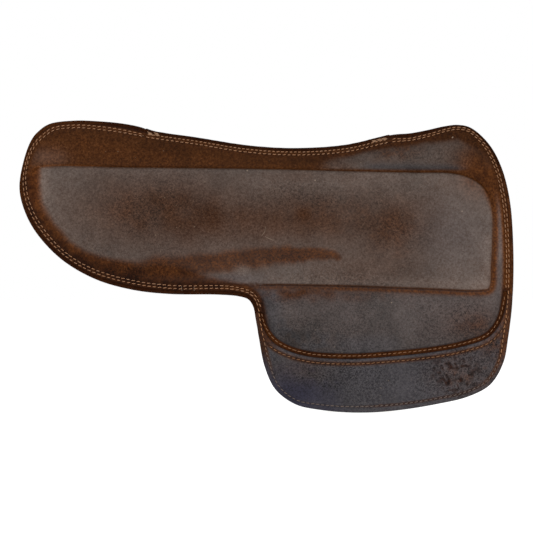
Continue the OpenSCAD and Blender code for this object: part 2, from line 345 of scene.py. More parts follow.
CREASES = [
    (16, 230, 0.95, -0.30, 7.5, 0.9, 0.55), (-23, 204, 0.9, 0.4, 5.0, 1.6, 0.5),
    (-100, 178, 0.15, 0.99, 9.0, 2.2, 0.35), (-96, 181, 0.3, 0.95, 6.0, 1.4, 0.3),
    (262, 60, 0.85, 0.5, 18.0, 2.4, 0.35), (288, 78, 0.7, 0.7, 12.0, 2.2, 0.3),
    (238, 48, 0.95, 0.25, 22.0, 3.0, 0.3), (300, 55, 0.6, 0.8, 10.0, 2.0, 0.3),
    (-60, 300, 0.97, 0.2, 42.0, 6.0, 0.25), (140, 110, 0.99, 0.1, 60.0, 7.0, 0.35)]


def to_world(x, u, z, side, full=None):
    """a point of the folded sheet at its rest place, in metres; side -1 off, +1 near"""
    w = sstep(Z_BEND0, Z_BEND1, z) if full is None else np.full_like(z, full)
    th = np.radians(REST) * w
    y, zz = U_AXIS - u, z - FOLD
    y2 = y * np.cos(th) + zz * np.sin(th) - U_AXIS
    z2 = -y * np.sin(th) + zz * np.cos(th) + FOLD + DROP
    return np.c_[x, y2 * (1 if side < 0 else -1), z2] / 1000.0


# ---------------------------------------------------------------- meshing
def make_mesh(name, co, faces, attrs=None, smooth=True):
    me = bpy.data.meshes.new(name)
    me.from_pydata([tuple(v) for v in co], [], [tuple(int(i) for i in f) for f in faces])
    me.update()
    if smooth:
        me.polygons.foreach_set("use_smooth", np.ones(len(me.polygons), bool))
    for key, val in (attrs or {}).items():
        val = np.asarray(val, np.float32)
        if val.ndim == 1:
            a = me.attributes.new(key, "FLOAT", "POINT")
            a.data.foreach_set("value", val)
        elif val.shape[1] == 3:
            a = me.attributes.new(key, "FLOAT_VECTOR", "POINT")
            a.data.foreach_set("vector", val.ravel())
        else:
            a = me.attributes.new(key, "FLOAT_COLOR", "POINT")
            a.data.foreach_set("color", val.ravel())
    o = bpy.data.objects.new(name, me)
    bpy.context.scene.collection.objects.link(o)
    return o


def inside(q, poly):
    x, y = q.T
    r = np.zeros(len(q), bool)
    x0, y0 = poly.T
    x1, y1 = np.roll(x0, -1), np.roll(y0, -1)
    for a, b, c, d in zip(x0, y0, x1, y1):
        if b == d:
            continue
        hit = ((b > y) != (d > y))
        if hit.any():
            r[hit] ^= x[hit] < (c - a) * (y[hit] - b) / (d - b) + a
    return r


def thin(points, cell):
    """keep the first point that falls in each small cell"""
    seen, keep = set(), []
    for i, k in enumerate(map(tuple, np.floor(points / cell).astype(int))):
        if k not in seen:
            seen.add(k)
            keep.append(i)
    return points[keep]


def triangulate(loop, pts):
    """loop is a boundary polygon, pts are points inside; returns vertices with the loop first, and triangles"""
    n = len(loop)
    allp = np.vstack([loop, pts])
    r = delaunay_2d_cdt([Vector(p) for p in allp], [], [list(range(n))], 1, 1e-5)
    v = np.array([tuple(p) for p in r[0]])
    back = [o[0] if o else -1 for o in r[3]]
    new, extra = {}, []
    for i, b in enumerate(back):
        if b >= 0:
            new[i] = b
        else:
            new[i] = len(allp) + len(extra)
            extra.append(v[i])
    verts = np.vstack([allp, np.array(extra)]) if extra else allp
    tris = []
    for f in r[2]:
        a, b, c = (new[i] for i in f)
        pa, pb, pc = verts[a], verts[b], verts[c]
        area = (pb[0] - pa[0]) * (pc[1] - pa[1]) - (pb[1] - pa[1]) * (pc[0] - pa[0])
        if abs(area) < 1e-9:
            continue
        tris.append((a, b, c) if area > 0 else (a, c, b))
    used = np.zeros(len(verts), bool)
    used[np.array(tris).ravel()] = True
    used[:n] = True
    remap = np.cumsum(used) - 1
    return verts[used], [tuple(remap[i] for i in t) for t in tris]


def edge_gap(q, poly):
    c = Curve(poly, True, 1.0)
    return np.fromiter((c.kd.find((x, y, 0))[2] for x, y in q), float, len(q))


def cloud():
    """points that follow the rim, the panel's edge and the flap seam, with an even fill"""
    parts = []
    for d in (0.7, 1.5, 2.4, 3.3, 4.2, 5.1, 6, 6.9, 7.8, 8.7, 9.6, 10.5, 11.4, 12.3, 13.2, 14.2, 15.6, 17.6, 20.2, 23.4, 27):
        parts.append(RIM.loop(d, 2.0))
    rim = np.vstack(parts)
    parts = []
    for d in (-9, -7, -5.6, -4.6, -3.8, -3.0, -2.2, -1.4, -0.6, 0.2, 1.0, 1.8, 2.8, 4.4, 6.6, 9.4):
        parts.append(RIDGE.loop(d, 2.2))
    ridge = np.vstack(parts)
    ridge = ridge[RIM.near(ridge)[0] > 28.5]
    parts = []
    for d in (-17, -14, -11.5, -9.5, -7.8, -6.4, -5.2, -4.2, -3.4, -2.6, -1.8, -1, -0.2, 0.6, 1.4, 2.2, 3, 3.8,
              4.6, 5.4, 6.4, 7.4, 8.4, 9.2, 9.9, 10.5, 11, 11.5, 12, 12.5, 13.1, 13.9, 15, 16.8, 19.4):
        parts.append(SEAM.loop(d, 2.2, 0, SEAM.length))
    seam = np.vstack(parts)
    seam = seam[RIM.near(seam)[0] > 14.5]
    su, ss = SEAM.near(rim)
    past = (ss <= 0) | (ss >= SEAM.length)          # beyond the seam's ends
    rim = rim[(np.abs(su) > 20) | (RIM.near(rim)[0] < 14.6) | past]
    g = 3.6
    xs, zs = np.arange(-352, 352, g), np.arange(0, 416, g * 0.866)
    gx, gz = np.meshgrid(xs, zs)
    gx[1::2] += g / 2
    grid = np.c_[gx.ravel(), gz.ravel()] + RNG.uniform(-0.3, 0.3, (gx.size, 2))
    grid = grid[inside(grid, RIM.p[::4])]
    grid = grid[RIM.near(grid)[0] > 29.5]
    pd = RIDGE.near(grid)[0]
    grid = grid[(pd < -11) | (pd > 11.5)]
    sd, ss = SEAM.near(grid)
    grid = grid[(np.abs(sd) > 21) | (ss <= 0) | (ss >= SEAM.length)]
    return thin(np.vstack([rim, ridge, seam, grid]), 0.75)


CLOUD = cloud()


def region(which):
    """boundary polygons of the leather pieces, anticlockwise"""
    if which == "cover":       # along the rim under the binding, then the upper lip of the flap seam
        r = np.vstack([RIM.loop(2.3, 1.9, BAND1 - 1, PER + BAND0 + 1),
                       SEAM.loop(-3.3, 1.9, 18.0, SEAM.length - 18.0)[::-1]])
    elif which == "band":      # along the rim, then the flap leather's upper edge
        r = np.vstack([RIM.loop(0.15, 1.9, BAND0 - 2, BAND1 + 2),
                       SEAM.loop(4.1, 1.9, 11.0, SEAM.length - 11.0)])
    elif which == "lining":
        r = RIM.loop(lambda s: 1.5 - 1.0 * hem_amount(s), 2.4)
    elif which == "core":
        r = np.vstack([RIM.loop(lambda s: row_b(s) + 3.0, 4.0, BAND1 + 10, PER + BAND0 - 10),
                       SEAM.loop(-5.5, 4.0, 24.0, SEAM.length - 24.0)[::-1]])
    elif which == "flap":
        r = np.vstack([RIM.loop(lambda s: row_a(s) + 2.5, 4.0, BAND0 + 60, BAND1 - 60),
                       SEAM.loop(6.0, 4.0, 60.0, SEAM.length - 60.0)])
    elif which == "insert":
        r = RIDGE.loop(2.6, 4.0)
    r = clean_loop(r)
    return r if area2(r) > 0 else r[::-1]


def clean_loop(pts):
    """drop points that double back where two boundary pieces meet"""
    out = [pts[0]]
    for p in pts[1:]:
        if np.hypot(*(p - out[-1])) > 0.9:
            out.append(p)
    if np.hypot(*(out[0] - out[-1])) < 0.9:
        out.pop()
    return np.array(out)


def area2(pts):
    x, y = pts.T
    return np.dot(x, np.roll(y, -1)) - np.dot(y, np.roll(x, -1))


# ---------------------------------------------------------------- building blocks
SHEETS = {}


def sheet(which, cell=None, gap=0.6):
    """triangulated plan of a piece, worked out once and used for both sides"""
    if which not in SHEETS:
        loop = region(which)
        pts = CLOUD if cell is None else thin(CLOUD, cell)
        pts = pts[inside(pts, loop)]
        pts = pts[edge_gap(pts, loop) > (gap if cell is None else cell * 0.4)]
        v, t = triangulate(loop, pts)
        SHEETS[which] = (len(loop), v, t, fields(v))
    return SHEETS[which]


def shell(name, which, top, bottom, side, cell=None, masks=None, lip=0.45, tone=None, pits=None):
    """closed solid between two heights over a plan, with a rounded rim"""
    n, v, t, f = sheet(which, cell)
    x, z = v.T
    ut, ub = top(v, f), bottom(v, f)
    ub = np.minimum(ub, ut - 0.25)
    nv = len(v)
    lp = v[:n]
    tan = np.roll(lp, -1, 0) - np.roll(lp, 1, 0)
    tan /= np.linalg.norm(tan, axis=1)[:, None]
    out = np.c_[tan[:, 1], -tan[:, 0]]
    mid = lp + out * ((ut - ub)[:n, None] * lip)
    um = 0.5 * (ut + ub)[:n]
    co = np.vstack([to_world(x, ut, z, side), to_world(x, ub, z, side), to_world(mid[:, 0], um, mid[:, 1], side)])
    flip = side > 0
    faces = [(a, c, b) if flip else (a, b, c) for a, b, c in t]
    faces += [(a + nv, b + nv, c + nv) if flip else (a + nv, c + nv, b + nv) for a, b, c in t]
    for i in range(n):
        j = (i + 1) % n
        for p, q in ((0, 2 * nv), (2 * nv, nv)):
            quad = (p + i, q + i, q + j, p + j)
            faces.append(quad[::-1] if flip else quad)
    allx = np.r_[x, x, mid[:, 0]]
    allz = np.r_[z, z, mid[:, 1]]
    allu = np.r_[ut, ub, um]
    at = {"sheet": np.c_[allx / 1000 + (1.7 if side > 0 else 0), allz / 1000, allu / 1000]}
    if masks is not None:
        m = masks(v, f)
        at["mask"] = np.vstack([m, m, m[:n]])
        w = tone(v, f)
        at["tone"] = np.r_[w, w, w[:n]]
        w = pits(v, f)
        at["pits"] = np.r_[w, w, w[:n]]
    return make_mesh(name, co, faces, at)


def ribbon(name, xz, upper, lower, side, closed=False, full=None, both=False, coord=None, masks=None):
    """solid strip swept along stations: xz, upper, lower are (stations, across, 2 or 1)"""
    ns, na = xz.shape[:2]
    top = np.dstack([xz, upper]).reshape(-1, 3)
    bot = np.dstack([lower[..., :2], lower[..., 2]]).reshape(-1, 3)
    pts = np.vstack([top, bot])
    if both:       # already in world sense: third column is y, in mm
        th = 0
        co = np.c_[pts[:, 0], pts[:, 2], pts[:, 1] + DROP] / 1000.0
    else:
        co = to_world(pts[:, 0], pts[:, 2], pts[:, 1], side, full)
    half = ns * na
    faces = []
    idx = lambda i, k, low: (half if low else 0) + (i % ns) * na + k
    for i in range(ns if closed else ns - 1):
        for k in range(na - 1):
            faces.append((idx(i, k, 0), idx(i, k + 1, 0), idx(i + 1, k + 1, 0), idx(i + 1, k, 0)))
            faces.append((idx(i, k, 1), idx(i + 1, k, 1), idx(i + 1, k + 1, 1), idx(i, k + 1, 1)))
        for k, rev in ((0, False), (na - 1, True)):
            q = (idx(i, k, 0), idx(i + 1, k, 0), idx(i + 1, k, 1), idx(i, k, 1))
            faces.append(q[::-1] if rev else q)
    if not closed:
        for i, rev in ((0, True), (ns - 1, False)):
            for k in range(na - 1):
                q = (idx(i, k, 0), idx(i, k + 1, 0), idx(i, k + 1, 1), idx(i, k, 1))
                faces.append(q[::-1] if rev else q)
    at = {"sheet": np.c_[pts[:, 0] / 1000 + (1.7 if side > 0 else 0), pts[:, 1] / 1000, pts[:, 2] / 1000]}
    if coord is not None:
        at["run"] = np.vstack([coord, coord])
    if masks is not None:
        m = masks(pts[:, :2], fields(pts[:, :2]))
        at["mask"] = m
    o = make_mesh(name, co, faces, at)
    fix_normals(o)
    return o


def fix_normals(o):
    import bmesh
    bm = bmesh.new()
    bm.from_mesh(o.data)
    bmesh.ops.recalc_face_normals(bm, faces=bm.faces)
    bm.to_mesh(o.data)
    bm.free()


# one stitch: rings along it, then its two tips
RINGS = np.array([-0.47, -0.36, -0.2, 0.0, 0.2, 0.36, 0.47])
SIDES = 8


def stitches(name, items, side, full=None, world=False, shade=None):
    """items: list of (centres xz, tangents, height function, length, radius, slant in radians)"""
    cos, faces, runs = [], [], []
    base = 0
    for c, t, uf, ln, rad, slant in items:
        m = len(c)
        if not m:
            continue
        jit = 1 + 0.07 * RNG.standard_normal(m)
        sl = slant + 0.05 * RNG.standard_normal(m)
        tt = np.c_[t[:, 0] * np.cos(sl) - t[:, 1] * np.sin(sl), t[:, 0] * np.sin(sl) + t[:, 1] * np.cos(sl)]
        nn = np.c_[tt[:, 1], -tt[:, 0]]
        ang = np.arange(SIDES) * TAU / SIDES
        a = RINGS * 1.0
        ctr = c[:, None, :] + tt[:, None, :] * (a[None, :, None] * (ln * jit)[:, None, None])
        hh = uf(ctr.reshape(-1, 2)).reshape(m, -1)
        prof = rad * np.sqrt(np.clip(1 - np.abs(a / 0.5) ** 3.2, 0.04, 1))
        lift = rad * 0.62 - rad * 1.5 * np.abs(a / 0.5) ** 4
        lat = np.cos(ang)[None, None, :] * prof[None, :, None] * 1.08
        ver = np.sin(ang)[None, None, :] * prof[None, :, None]
        sgn = 1.0 if not world else 1.0
        xz = ctr[:, :, None, :] + nn[:, None, None, :] * lat[..., None]
        u = hh[:, :, None] + (lift[None, :, None] + ver) * getattr(uf, "out", 1.0)
        xs, zs, us = xz[..., 0].reshape(m, -1), xz[..., 1].reshape(m, -1), u.reshape(m, -1)
        tip = []
        for e, aa in ((0, -0.5), (-1, 0.5)):
            q = c + tt * (aa * ln * jit)[:, None]
            tip.append(np.c_[q, hh[:, e] - rad * 0.55 * getattr(uf, "out", 1.0)])
        X = np.c_[xs, tip[0][:, 0], tip[1][:, 0]]
        Z = np.c_[zs, tip[0][:, 1], tip[1][:, 1]]
        U = np.c_[us, tip[0][:, 2], tip[1][:, 2]]
        nr = len(RINGS)
        per = nr * SIDES + 2
        one = []
        for r in range(nr - 1):
            for k in range(SIDES):
                k2 = (k + 1) % SIDES
                one.append((r * SIDES + k, (r + 1) * SIDES + k, (r + 1) * SIDES + k2, r * SIDES + k2))
        t0, t1 = nr * SIDES, nr * SIDES + 1
        for k in range(SIDES):
            k2 = (k + 1) % SIDES
            one.append((t0, k, k2))
            one.append((t1, (nr - 1) * SIDES + k2, (nr - 1) * SIDES + k))
        flip = (side > 0) != (getattr(uf, "out", 1.0) < 0)
        for i in range(m):
            o0 = base + i * per
            for f in one:
                g = tuple(o0 + q for q in f)
                faces.append(g[::-1] if flip else g)
        cos.append(to_world(X.ravel(), U.ravel(), Z.ravel(), side, full))
        al = np.r_[np.repeat(a, SIDES), -0.5, 0.5] * ln
        an = np.r_[np.tile(ang, nr), 0, 0] * rad
        tint = RNG.random(m) if shade is None else np.clip(shade(c) + 0.1 * RNG.standard_normal(m), 0, 1)
        runs.append(np.c_[np.tile(al, m) / 1000, np.tile(an, m) / 1000, np.repeat(tint, per)])
        base += m * per
    return make_mesh(name, np.vstack(cos), faces, {"run": np.vstack(runs)})


# ---------------------------------------------------------------- colour masks
def band_along(q, stops):
    """1 on a soft band through stops of (x, z, half width), fading across it"""
    st = np.array(stops, float)
    best = np.zeros(len(q))
    for (x0, z0, w0), (x1, z1, w1) in zip(st[:-1], st[1:]):
        dx, dz = x1 - x0, z1 - z0
        t = np.clip(((q[:, 0] - x0) * dx + (q[:, 1] - z0) * dz) / (dx * dx + dz * dz), 0, 1)
        r = np.hypot(q[:, 0] - x0 - t * dx, q[:, 1] - z0 - t * dz)
        best = np.maximum(best, np.exp(-(r / (w0 + (w1 - w0) * t)) ** 3))
    return best


def blob(q, cx, cz, rx, rz, turn=0.0):
    dx, dz = q[:, 0] - cx, q[:, 1] - cz
    c, s_ = math.cos(turn), math.sin(turn)
    return np.exp(-((dx * c + dz * s_) / rx) ** 2 - ((-dx * s_ + dz * c) / rz) ** 2)


# brown streak that leaves the rear margin and runs forward over the panel: x, z, half width, mm
RUST_BAND = [(-215, 196, 12), (-165, 201, 17), (-108, 206, 16), (-51, 212, 14), (-6, 219, 14), (34, 223, 12),
             (66, 224, 9), (102, 218, 4)]
# width of the brown margin inside the inner row, over 1375ths of the rim
MARGIN = np.array([(0, 12), (30, 11), (60, 8), (200, 8), (440, 8), (1104, 4), (1124, 5), (1138, 8), (1150, 13), (1165, 17),
                   (1185, 18), (1205, 15.5), (1225, 14.5), (1246, 12), (1268, 10), (1293, 9), (1321, 9), (1345, 10), (1375, 12)])


def masks_cover(q, f):
    """r: grey-brown, part wear and part painted sheen; g: rust; b: dark edge, plus painted shade lines; a: blue-grey,
    partly painted sheen, plus a painted shadow band and a painted highlight
    """
    x, z = q.T
    d, s, p, u = f["d"], f["s"], f["p"], f["u"]
    n1, n2, n3 = vnoise(q, 52, 21), vnoise(q, 21, 22), vnoise(q, 7, 23)
    wob = 6 * n1 + 4 * n2 + 2 * n3
    crisp = 1 - sstep(-70, -130, x) * sstep(338, 326, z)
    ins = d - row_b(s)
    # the grey face of the raised panel, part wear and part painted sheen, crisp above, with a brown margin towards the
    # loin
    mw = np.interp(np.mod(s, PER) / K, MARGIN[:, 0], MARGIN[:, 1]) * 1.6
    rear = sstep(-30, -75, x) * (z < 347)
    left = 1 - rear * (1 - sstep(mw - 7, mw + 7, ins + 0.45 * wob))
    worn_and_sheen = sstep(-1.2, 0.8, p) * crisp + (1 - crisp) * sstep(-30, -10, p)
    worn_and_sheen = worn_and_sheen * left * (0.92 + 0.06 * n1 + 0.05 * n2)
    brown = (0.66 * blob(q, -172, 286, 92, 52) + 0.50 * blob(q, -85, 278, 66, 44) + 0.62 * blob(q, 62, 280, 62, 34, -0.1)
             + 0.62 * blob(q, 178, 264, 60, 40, 0.1) + 0.40 * blob(q, 0, 262, 80, 30)
             + 0.30 * blob(q, 150, 200, 70, 22) + 0.22 * blob(q, 60, 335, 80, 9))
    worn_and_sheen = worn_and_sheen * (1 - np.clip(brown, 0, 0.85) * (0.9 + 0.2 * n2))
    # below the panel
    low = sstep(0, -3, p) * np.maximum(sstep(200, 172, z), sstep(306, 322, x) * sstep(322, 285, z)) * sstep(2, 9, ins)
    lw = 0.86 + 0.10 * n1 + 0.08 * n2 - 0.55 * blob(q, 60, 168, 70, 12) - 0.45 * blob(q, 292, 122, 34, 26)
    worn_and_sheen = np.maximum(worn_and_sheen, low * lw)
    # above the panel: greyer in front and low down, brown under the seam
    under = z - f_seam_z(x)
    front_top = sstep(342, 348, z) * sstep(66, 140, x + 2.4 * wob) * sstep(-10, -22, under + 0.4 * wob)
    worn_and_sheen = np.maximum(worn_and_sheen, 0.85 * front_top * (1 - 0.9 * blob(q, 300, 352, 36, 40)))
    worn_and_sheen = np.maximum(worn_and_sheen, 0.45 * blob(q, -308, 362, 26, 14) * (z > 346))
    rust = 0.45 * sstep(342, 348, z) * sstep(140, 0, x) * (0.7 + 0.4 * n2)
    rust = np.maximum(rust, (1 - left) * (0.85 + 0.25 * n2))
    streak = np.clip(1.25 * band_along(q + np.c_[3 * n3, 3 * n2 + 2 * n3], RUST_BAND), 0, 1) * (0.96 + 0.15 * n2)
    # the streak is cut back where a painted highlight wedge is put
    streak = streak * (1 - 0.9 * blob(q, -34, 199, 11, 9) - 0.5 * blob(q, -50, 190, 46, 6, 0.1)).clip(0, 1)
    rust = np.maximum(rust, streak)
    rust = np.maximum(rust, 0.40 * blob(q, 176, 256, 36, 42, 0.25) * (0.9 + 0.6 * n3))
    rust = np.maximum(rust, 0.26 * blob(q, 110, 280, 90, 32, 0.1) * (0.9 + 0.6 * n3))
    rust = np.maximum(rust, 0.20 * blob(q, -180, 290, 80, 36, 0.1) * (0.9 + 0.6 * n3))
    rust = np.maximum(rust, 0.95 * blob(q, 306, 344, 30, 36) * (0.85 + 0.3 * n3))
    rust = np.maximum(rust, 0.80 * blob(q, 186, 368, 30, 10, 0.2) * (0.75 + 0.6 * n3))
    rust = np.maximum(rust, 0.40 * blob(q, 292, 122, 30, 24) * (0.7 + 0.6 * n3))
    rust = np.maximum(rust, 0.80 * blob(q, 52, 168, 52, 10) * (0.75 + 0.8 * n3) * (p < -3))
    rust = np.maximum(rust, 0.45 * blob(q, 90, 165, 90, 9) * (0.7 + 0.7 * n3))
    # recess in front of the panel and the line beneath it
    fr = bell(p + 4.2, 4.0 + 8 * sstep(270, 330, z)) * sstep(300, 314, x) * sstep(160, 182, z) * sstep(352, 330, z)
    rust = np.maximum(rust, 0.95 * fr)
    foot = crisp * sstep(9, 13, d) * sstep(330, 300, z) * sstep(-76, -56, x)
    rust = np.maximum(rust, (1.0 - 0.25 * sstep(120, 60, x)) * bell(p + 4.9, 3.9) * foot)
    rust = np.maximum(rust, 0.5 * bell(p + 2.0, 1.6) * sstep(342, 346, z) * sstep(-30, -160, x))
    rust = np.maximum(rust, 0.6 * bell(ins - 1.5, 4.6))
    rust = np.maximum(rust, 0.9 * sstep(1.5, -1.5, ins) * sstep(305, 325, x) * sstep(330, 280, z))
    worn_and_sheen = worn_and_sheen * (1 - 0.85 * bell(ins, 4.2 - 1.4 * sstep(310, 325, x))) * (1 - 0.85 * fr)
    edge = 1 - sstep(-2.6, 0.4, d - row_a(s))
    lit = sstep(305, 325, x) * sstep(285, 235, z)
    dark = np.maximum(0.85 * edge, 0.38 * bell(d - row_a(s), 1.2)) * (1 - 0.5 * lit)
    dark = np.maximum(dark, (0.45 * bell(ins, 1.5) + 0.25 * bell(ins - 3, 4)) * (1 - 0.6 * lit))
    # painted shadow line under the panel's bottom edge
    dark = np.maximum(dark, 0.72 * bell(p + 1.9, 1.3) * foot * (1 - sstep(310, 316, x)))
    # painted shade lines along the panel's top edge, in two stretches
    dark = np.maximum(dark, 0.55 * bell(p + 2.6, 1.6) * sstep(342, 346, z) * sstep(130, 165, x) * sstep(300, 270, x))
    dark = np.maximum(dark, 0.30 * bell(p + 2.2, 1.3) * sstep(342, 346, z) * sstep(-240, -210, x) * sstep(-80, -120, x))
    dark = np.maximum(dark, (1 - left) * (0.34 + 0.12 * sstep(250, 215, z) + 0.28 * n3 + 0.14 * n2 + 0.40 * bell(ins, 7)))
    dark = np.maximum(dark, streak * (0.40 + 0.3 * n3) * (z < 262))
    dark = np.maximum(dark, 0.6 * blob(q, 302, 338, 16, 30) * np.clip(0.5 + n3, 0, 1))
    dark = np.maximum(dark, 0.35 * blob(q, 40, 386, 190, 9) * (z > 360))
    dark = np.maximum(dark, 0.42 * blob(q, 50, 167, 60, 11) * np.clip(0.55 + 0.9 * n3, 0, 1) * (p < -3))
    dark = np.maximum(dark, 0.40 * blob(q, 56, 108, 46, 30) * np.clip(0.25 + 1.6 * n3, 0, 1) * (z < 160))
    g = (z < 195) & (x > -20)
    dark = np.maximum(dark, g * 0.75 * sstep(5.6, 3.4, u) * sstep(184, 172, z + 0 * x))
    dark = np.maximum(dark, 0.5 * sstep(16, 3, ins) * sstep(60, 20, x) * (z < 200) * (x > -25))
    slate_and_painted_light = 0.8 * low * sstep(62, 16, u + 6 * n1) * sstep(250, 150, x + 10 * n2)
    slate_and_painted_light = slate_and_painted_light * (1 - 0.6 * blob(q, 56, 108, 46, 34) * np.clip(0.6 + 1.2 * n3, 0, 1))
    slate_and_painted_light = np.maximum(slate_and_painted_light, 0.45 * low)
    # painted bluish highlight wedge at the panel's lower rear end
    slate_and_painted_light = np.maximum(slate_and_painted_light, 0.5 * blob(q, -50, 189, 52, 8))
    # painted bluish shadow band above the panel's top edge, towards the front
    slate_and_painted_light = np.maximum(slate_and_painted_light, 0.6 * bell(p + 8, 6) * sstep(120, 160, x) * sstep(300, 270, x) * sstep(340, 347, z))
    slate_and_painted_light = np.maximum(slate_and_painted_light, 0.30 * blob(q, 262, 250, 60, 60) * sstep(0, 4, p))
    return np.clip(np.c_[worn_and_sheen, rust, dark, slate_and_painted_light], 0, 1)


def tone_and_painted_light_cover(q, f):
    """lighter and darker places, -1 to 1: random mottling, painted highlights and painted shade"""
    x, z = q.T
    p, u, ins = f["p"], f["u"], f["d"] - row_b(f["s"])
    n1, n2, n3 = vnoise(q, 60, 81), vnoise(q, 24, 82), vnoise(q, 9, 83)
    on = sstep(-1, 2, p)
    calm = 1 - 0.6 * on * sstep(215, 260, x)
    t = (0.07 * n1 + 0.08 * n2 + 0.05 * n3) * calm
    # painted highlight along the panel's bottom edge
    t = t + 0.26 * bell(p - 7, 7) * on * (z < 250) * sstep(-70, -30, x)
    t = t + 0.16 * on * sstep(225, 275, x) + 0.10 * on * blob(q, -290, 300, 50, 50)
    t = t + 0.10 * on * blob(q, 60, 205, 170, 12) + 0.10 * on * blob(q, 120, 330, 150, 12)
    n4 = vnoise(q, 13, 84)
    t = t - 0.30 * np.clip(n4 * 1.4, 0, 1) * sstep(174, 164, z) * (x > -30) * (0.5 + 0.5 * blob(q, 70, 105, 90, 30))
    t = t - 0.16 * np.clip(n3 * 1.6, 0, 1) * sstep(174, 164, z) * (x > -30)
    t = t - 0.12 * np.clip(n3 * 1.5, -1, 1) * np.clip(blob(q, -175, 292, 70, 44) + blob(q, 60, 285, 60, 30), 0, 1) * on
    t = t - 0.10 * on * blob(q, -125, 285, 110, 42) - 0.10 * on * blob(q, 110, 275, 100, 34)
    # painted shadow band above the panel's top edge, towards the front
    t = t - 0.40 * bell(p + 7, 6) * sstep(120, 160, x) * sstep(300, 270, x) * sstep(340, 347, z)
    t = t + 0.06 * sstep(348, 356, z) * blob(q, 230, 370, 50, 18) - 0.17 * sstep(348, 356, z) * sstep(-60, 60, x)
    t = t + 0.30 * blob(q, -308, 360, 24, 14) * (z > 347) - 0.06 * sstep(348, 356, z) * sstep(-60, -140, x)
    t = t - 0.16 * bell(ins - 8, 8) * sstep(348, 356, z)
    # painted highlight line along the panel's top edge at the rear
    t = t + 0.85 * bell(p + 1.2, 1.1) * sstep(342, 345, z) * sstep(-220, -260, x)
    # painted shade along the flap seam, and darker towards the bottom
    t = t - 0.10 * sstep(20, 4, u) * sstep(190, 165, z) * (x > -20) - 0.05 * sstep(150, 120, z)
    t = t - 0.12 * (z < 160) * sstep(60, 0, x) * (x > -25)
    t = t + 0.10 * sstep(174, 160, z) * (x > -30) + 0.16 * blob(q, 312, 160, 46, 36) * (z < 200)
    # painted highlight on the bulge inside the front edge rows
    t = t + 0.30 * sstep(322, 328, x) * sstep(165, 200, z) * sstep(312, 280, z) * sstep(1, 5, ins)
    t = t + 0.42 * bell(p + 13, 3.4) * sstep(310, 322, x) * sstep(205, 235, z) * sstep(330, 290, z)
    # painted highlight patch at the panel's lower rear end, with darker places beside it
    t = t + 0.34 * blob(q, -33, 200, 9, 7, 0.4) - 0.10 * blob(q, -50, 190, 50, 9) - 0.14 * blob(q, -14, 200, 12, 5)
    # painted highlight near the panel's top front corner
    t = t + 0.30 * blob(q, 285, 352, 14, 14)
    t = t + (0.15 * blob(q, 250, 140, 56, 26) - 0.10 * blob(q, 60, 112, 50, 30)) * (z < 174)
    t = t + 0.34 * sstep(-304, -314, x) * sstep(262, 300, z) * sstep(352, 346, z) * sstep(0, 3, ins)
    return t


def pits_cover(q, f):
    """how strongly the grain is pitted and cracked dark"""
    k = 0.22 + 0.75 * blob(q, -165, 288, 75, 42) + 0.5 * blob(q, 178, 264, 60, 44) + 0.7 * blob(q, 60, 300, 80, 30) + 0.8 * blob(q, 292, 128, 30, 34)
    k = k + 0.6 * blob(q, 300, 385, 24, 12) + 0.5 * blob(q, 100, 185, 90, 14) + 0.6 * blob(q, 215, 366, 60, 12)
    k = k + 0.6 * blob(q, 60, 102, 60, 26) + 0.45 * sstep(176, 160, q[:, 1]) * (q[:, 0] > -30) + 0.5 * blob(q, -235, 205, 70, 26, -0.4)
    k = k - 0.5 * sstep(225, 265, q[:, 0]) * sstep(0, 4, f["p"]) - 0.2 * blob(q, -290, 300, 50, 60)
    k = k + 0.55 * band_along(q, RUST_BAND) - 0.6 * blob(q, 318, 172, 26, 50)
    return np.clip(k + 0.2 * vnoise(q, 30, 95), 0, 1)


def pits_flap(q, f):
    k = 0.5 + 1.6 * blob(q, 272, 56, 36, 30) + 0.5 * blob(q, 90, 52, 60, 20) + 0.5 * blob(q, 322, 96, 20, 26)
    return np.clip(k + 0.25 * vnoise(q, 26, 96), 0, 1)


def tone_flap(q, f):
    x, z = q.T
    n1, n2, n3 = vnoise(q, 50, 91), vnoise(q, 22, 92), vnoise(q, 8, 93)
    t = 0.06 * n1 + 0.07 * n2 + 0.05 * n3
    t = t - 0.22 * np.clip(n3 * 1.5, 0, 1) * (blob(q, 80, 58, 60, 20) + 0.6 * blob(q, 190, 50, 90, 26))
    t = t + 0.30 * np.clip(vnoise(q, 4.2, 35), -0.6, 1) * blob(q, 270, 56, 34, 26)
    t = t - 0.40 * blob(q, 52, 24, 66, 26, -0.12) - 0.10 * sstep(60, 20, x) + 0.12 * blob(q, 190, 40, 90, 26)
    t = t + 0.16 * bell(-f["u"] - 7.2, 2.4)
    t = t - 0.10 * sstep(8, 2, f["d"]) * sstep(150, 90, x) + 0.02 * blob(q, 275, 60, 42, 30)
    t = t + 0.16 * blob(q, 275, 66, 50, 34) - 0.06 * blob(q, 40, 60, 40, 60)
    return t + 0.03


def f_seam_z(x):
    """height of the spine seam over x"""
    return np.interp(x, [-340, -160, -97, -27, 44, 114, 180, 226, 272, 315, 350],
                     [414, 398, 389, 378, 374, 379, 392, 398, 402, 380, 300])


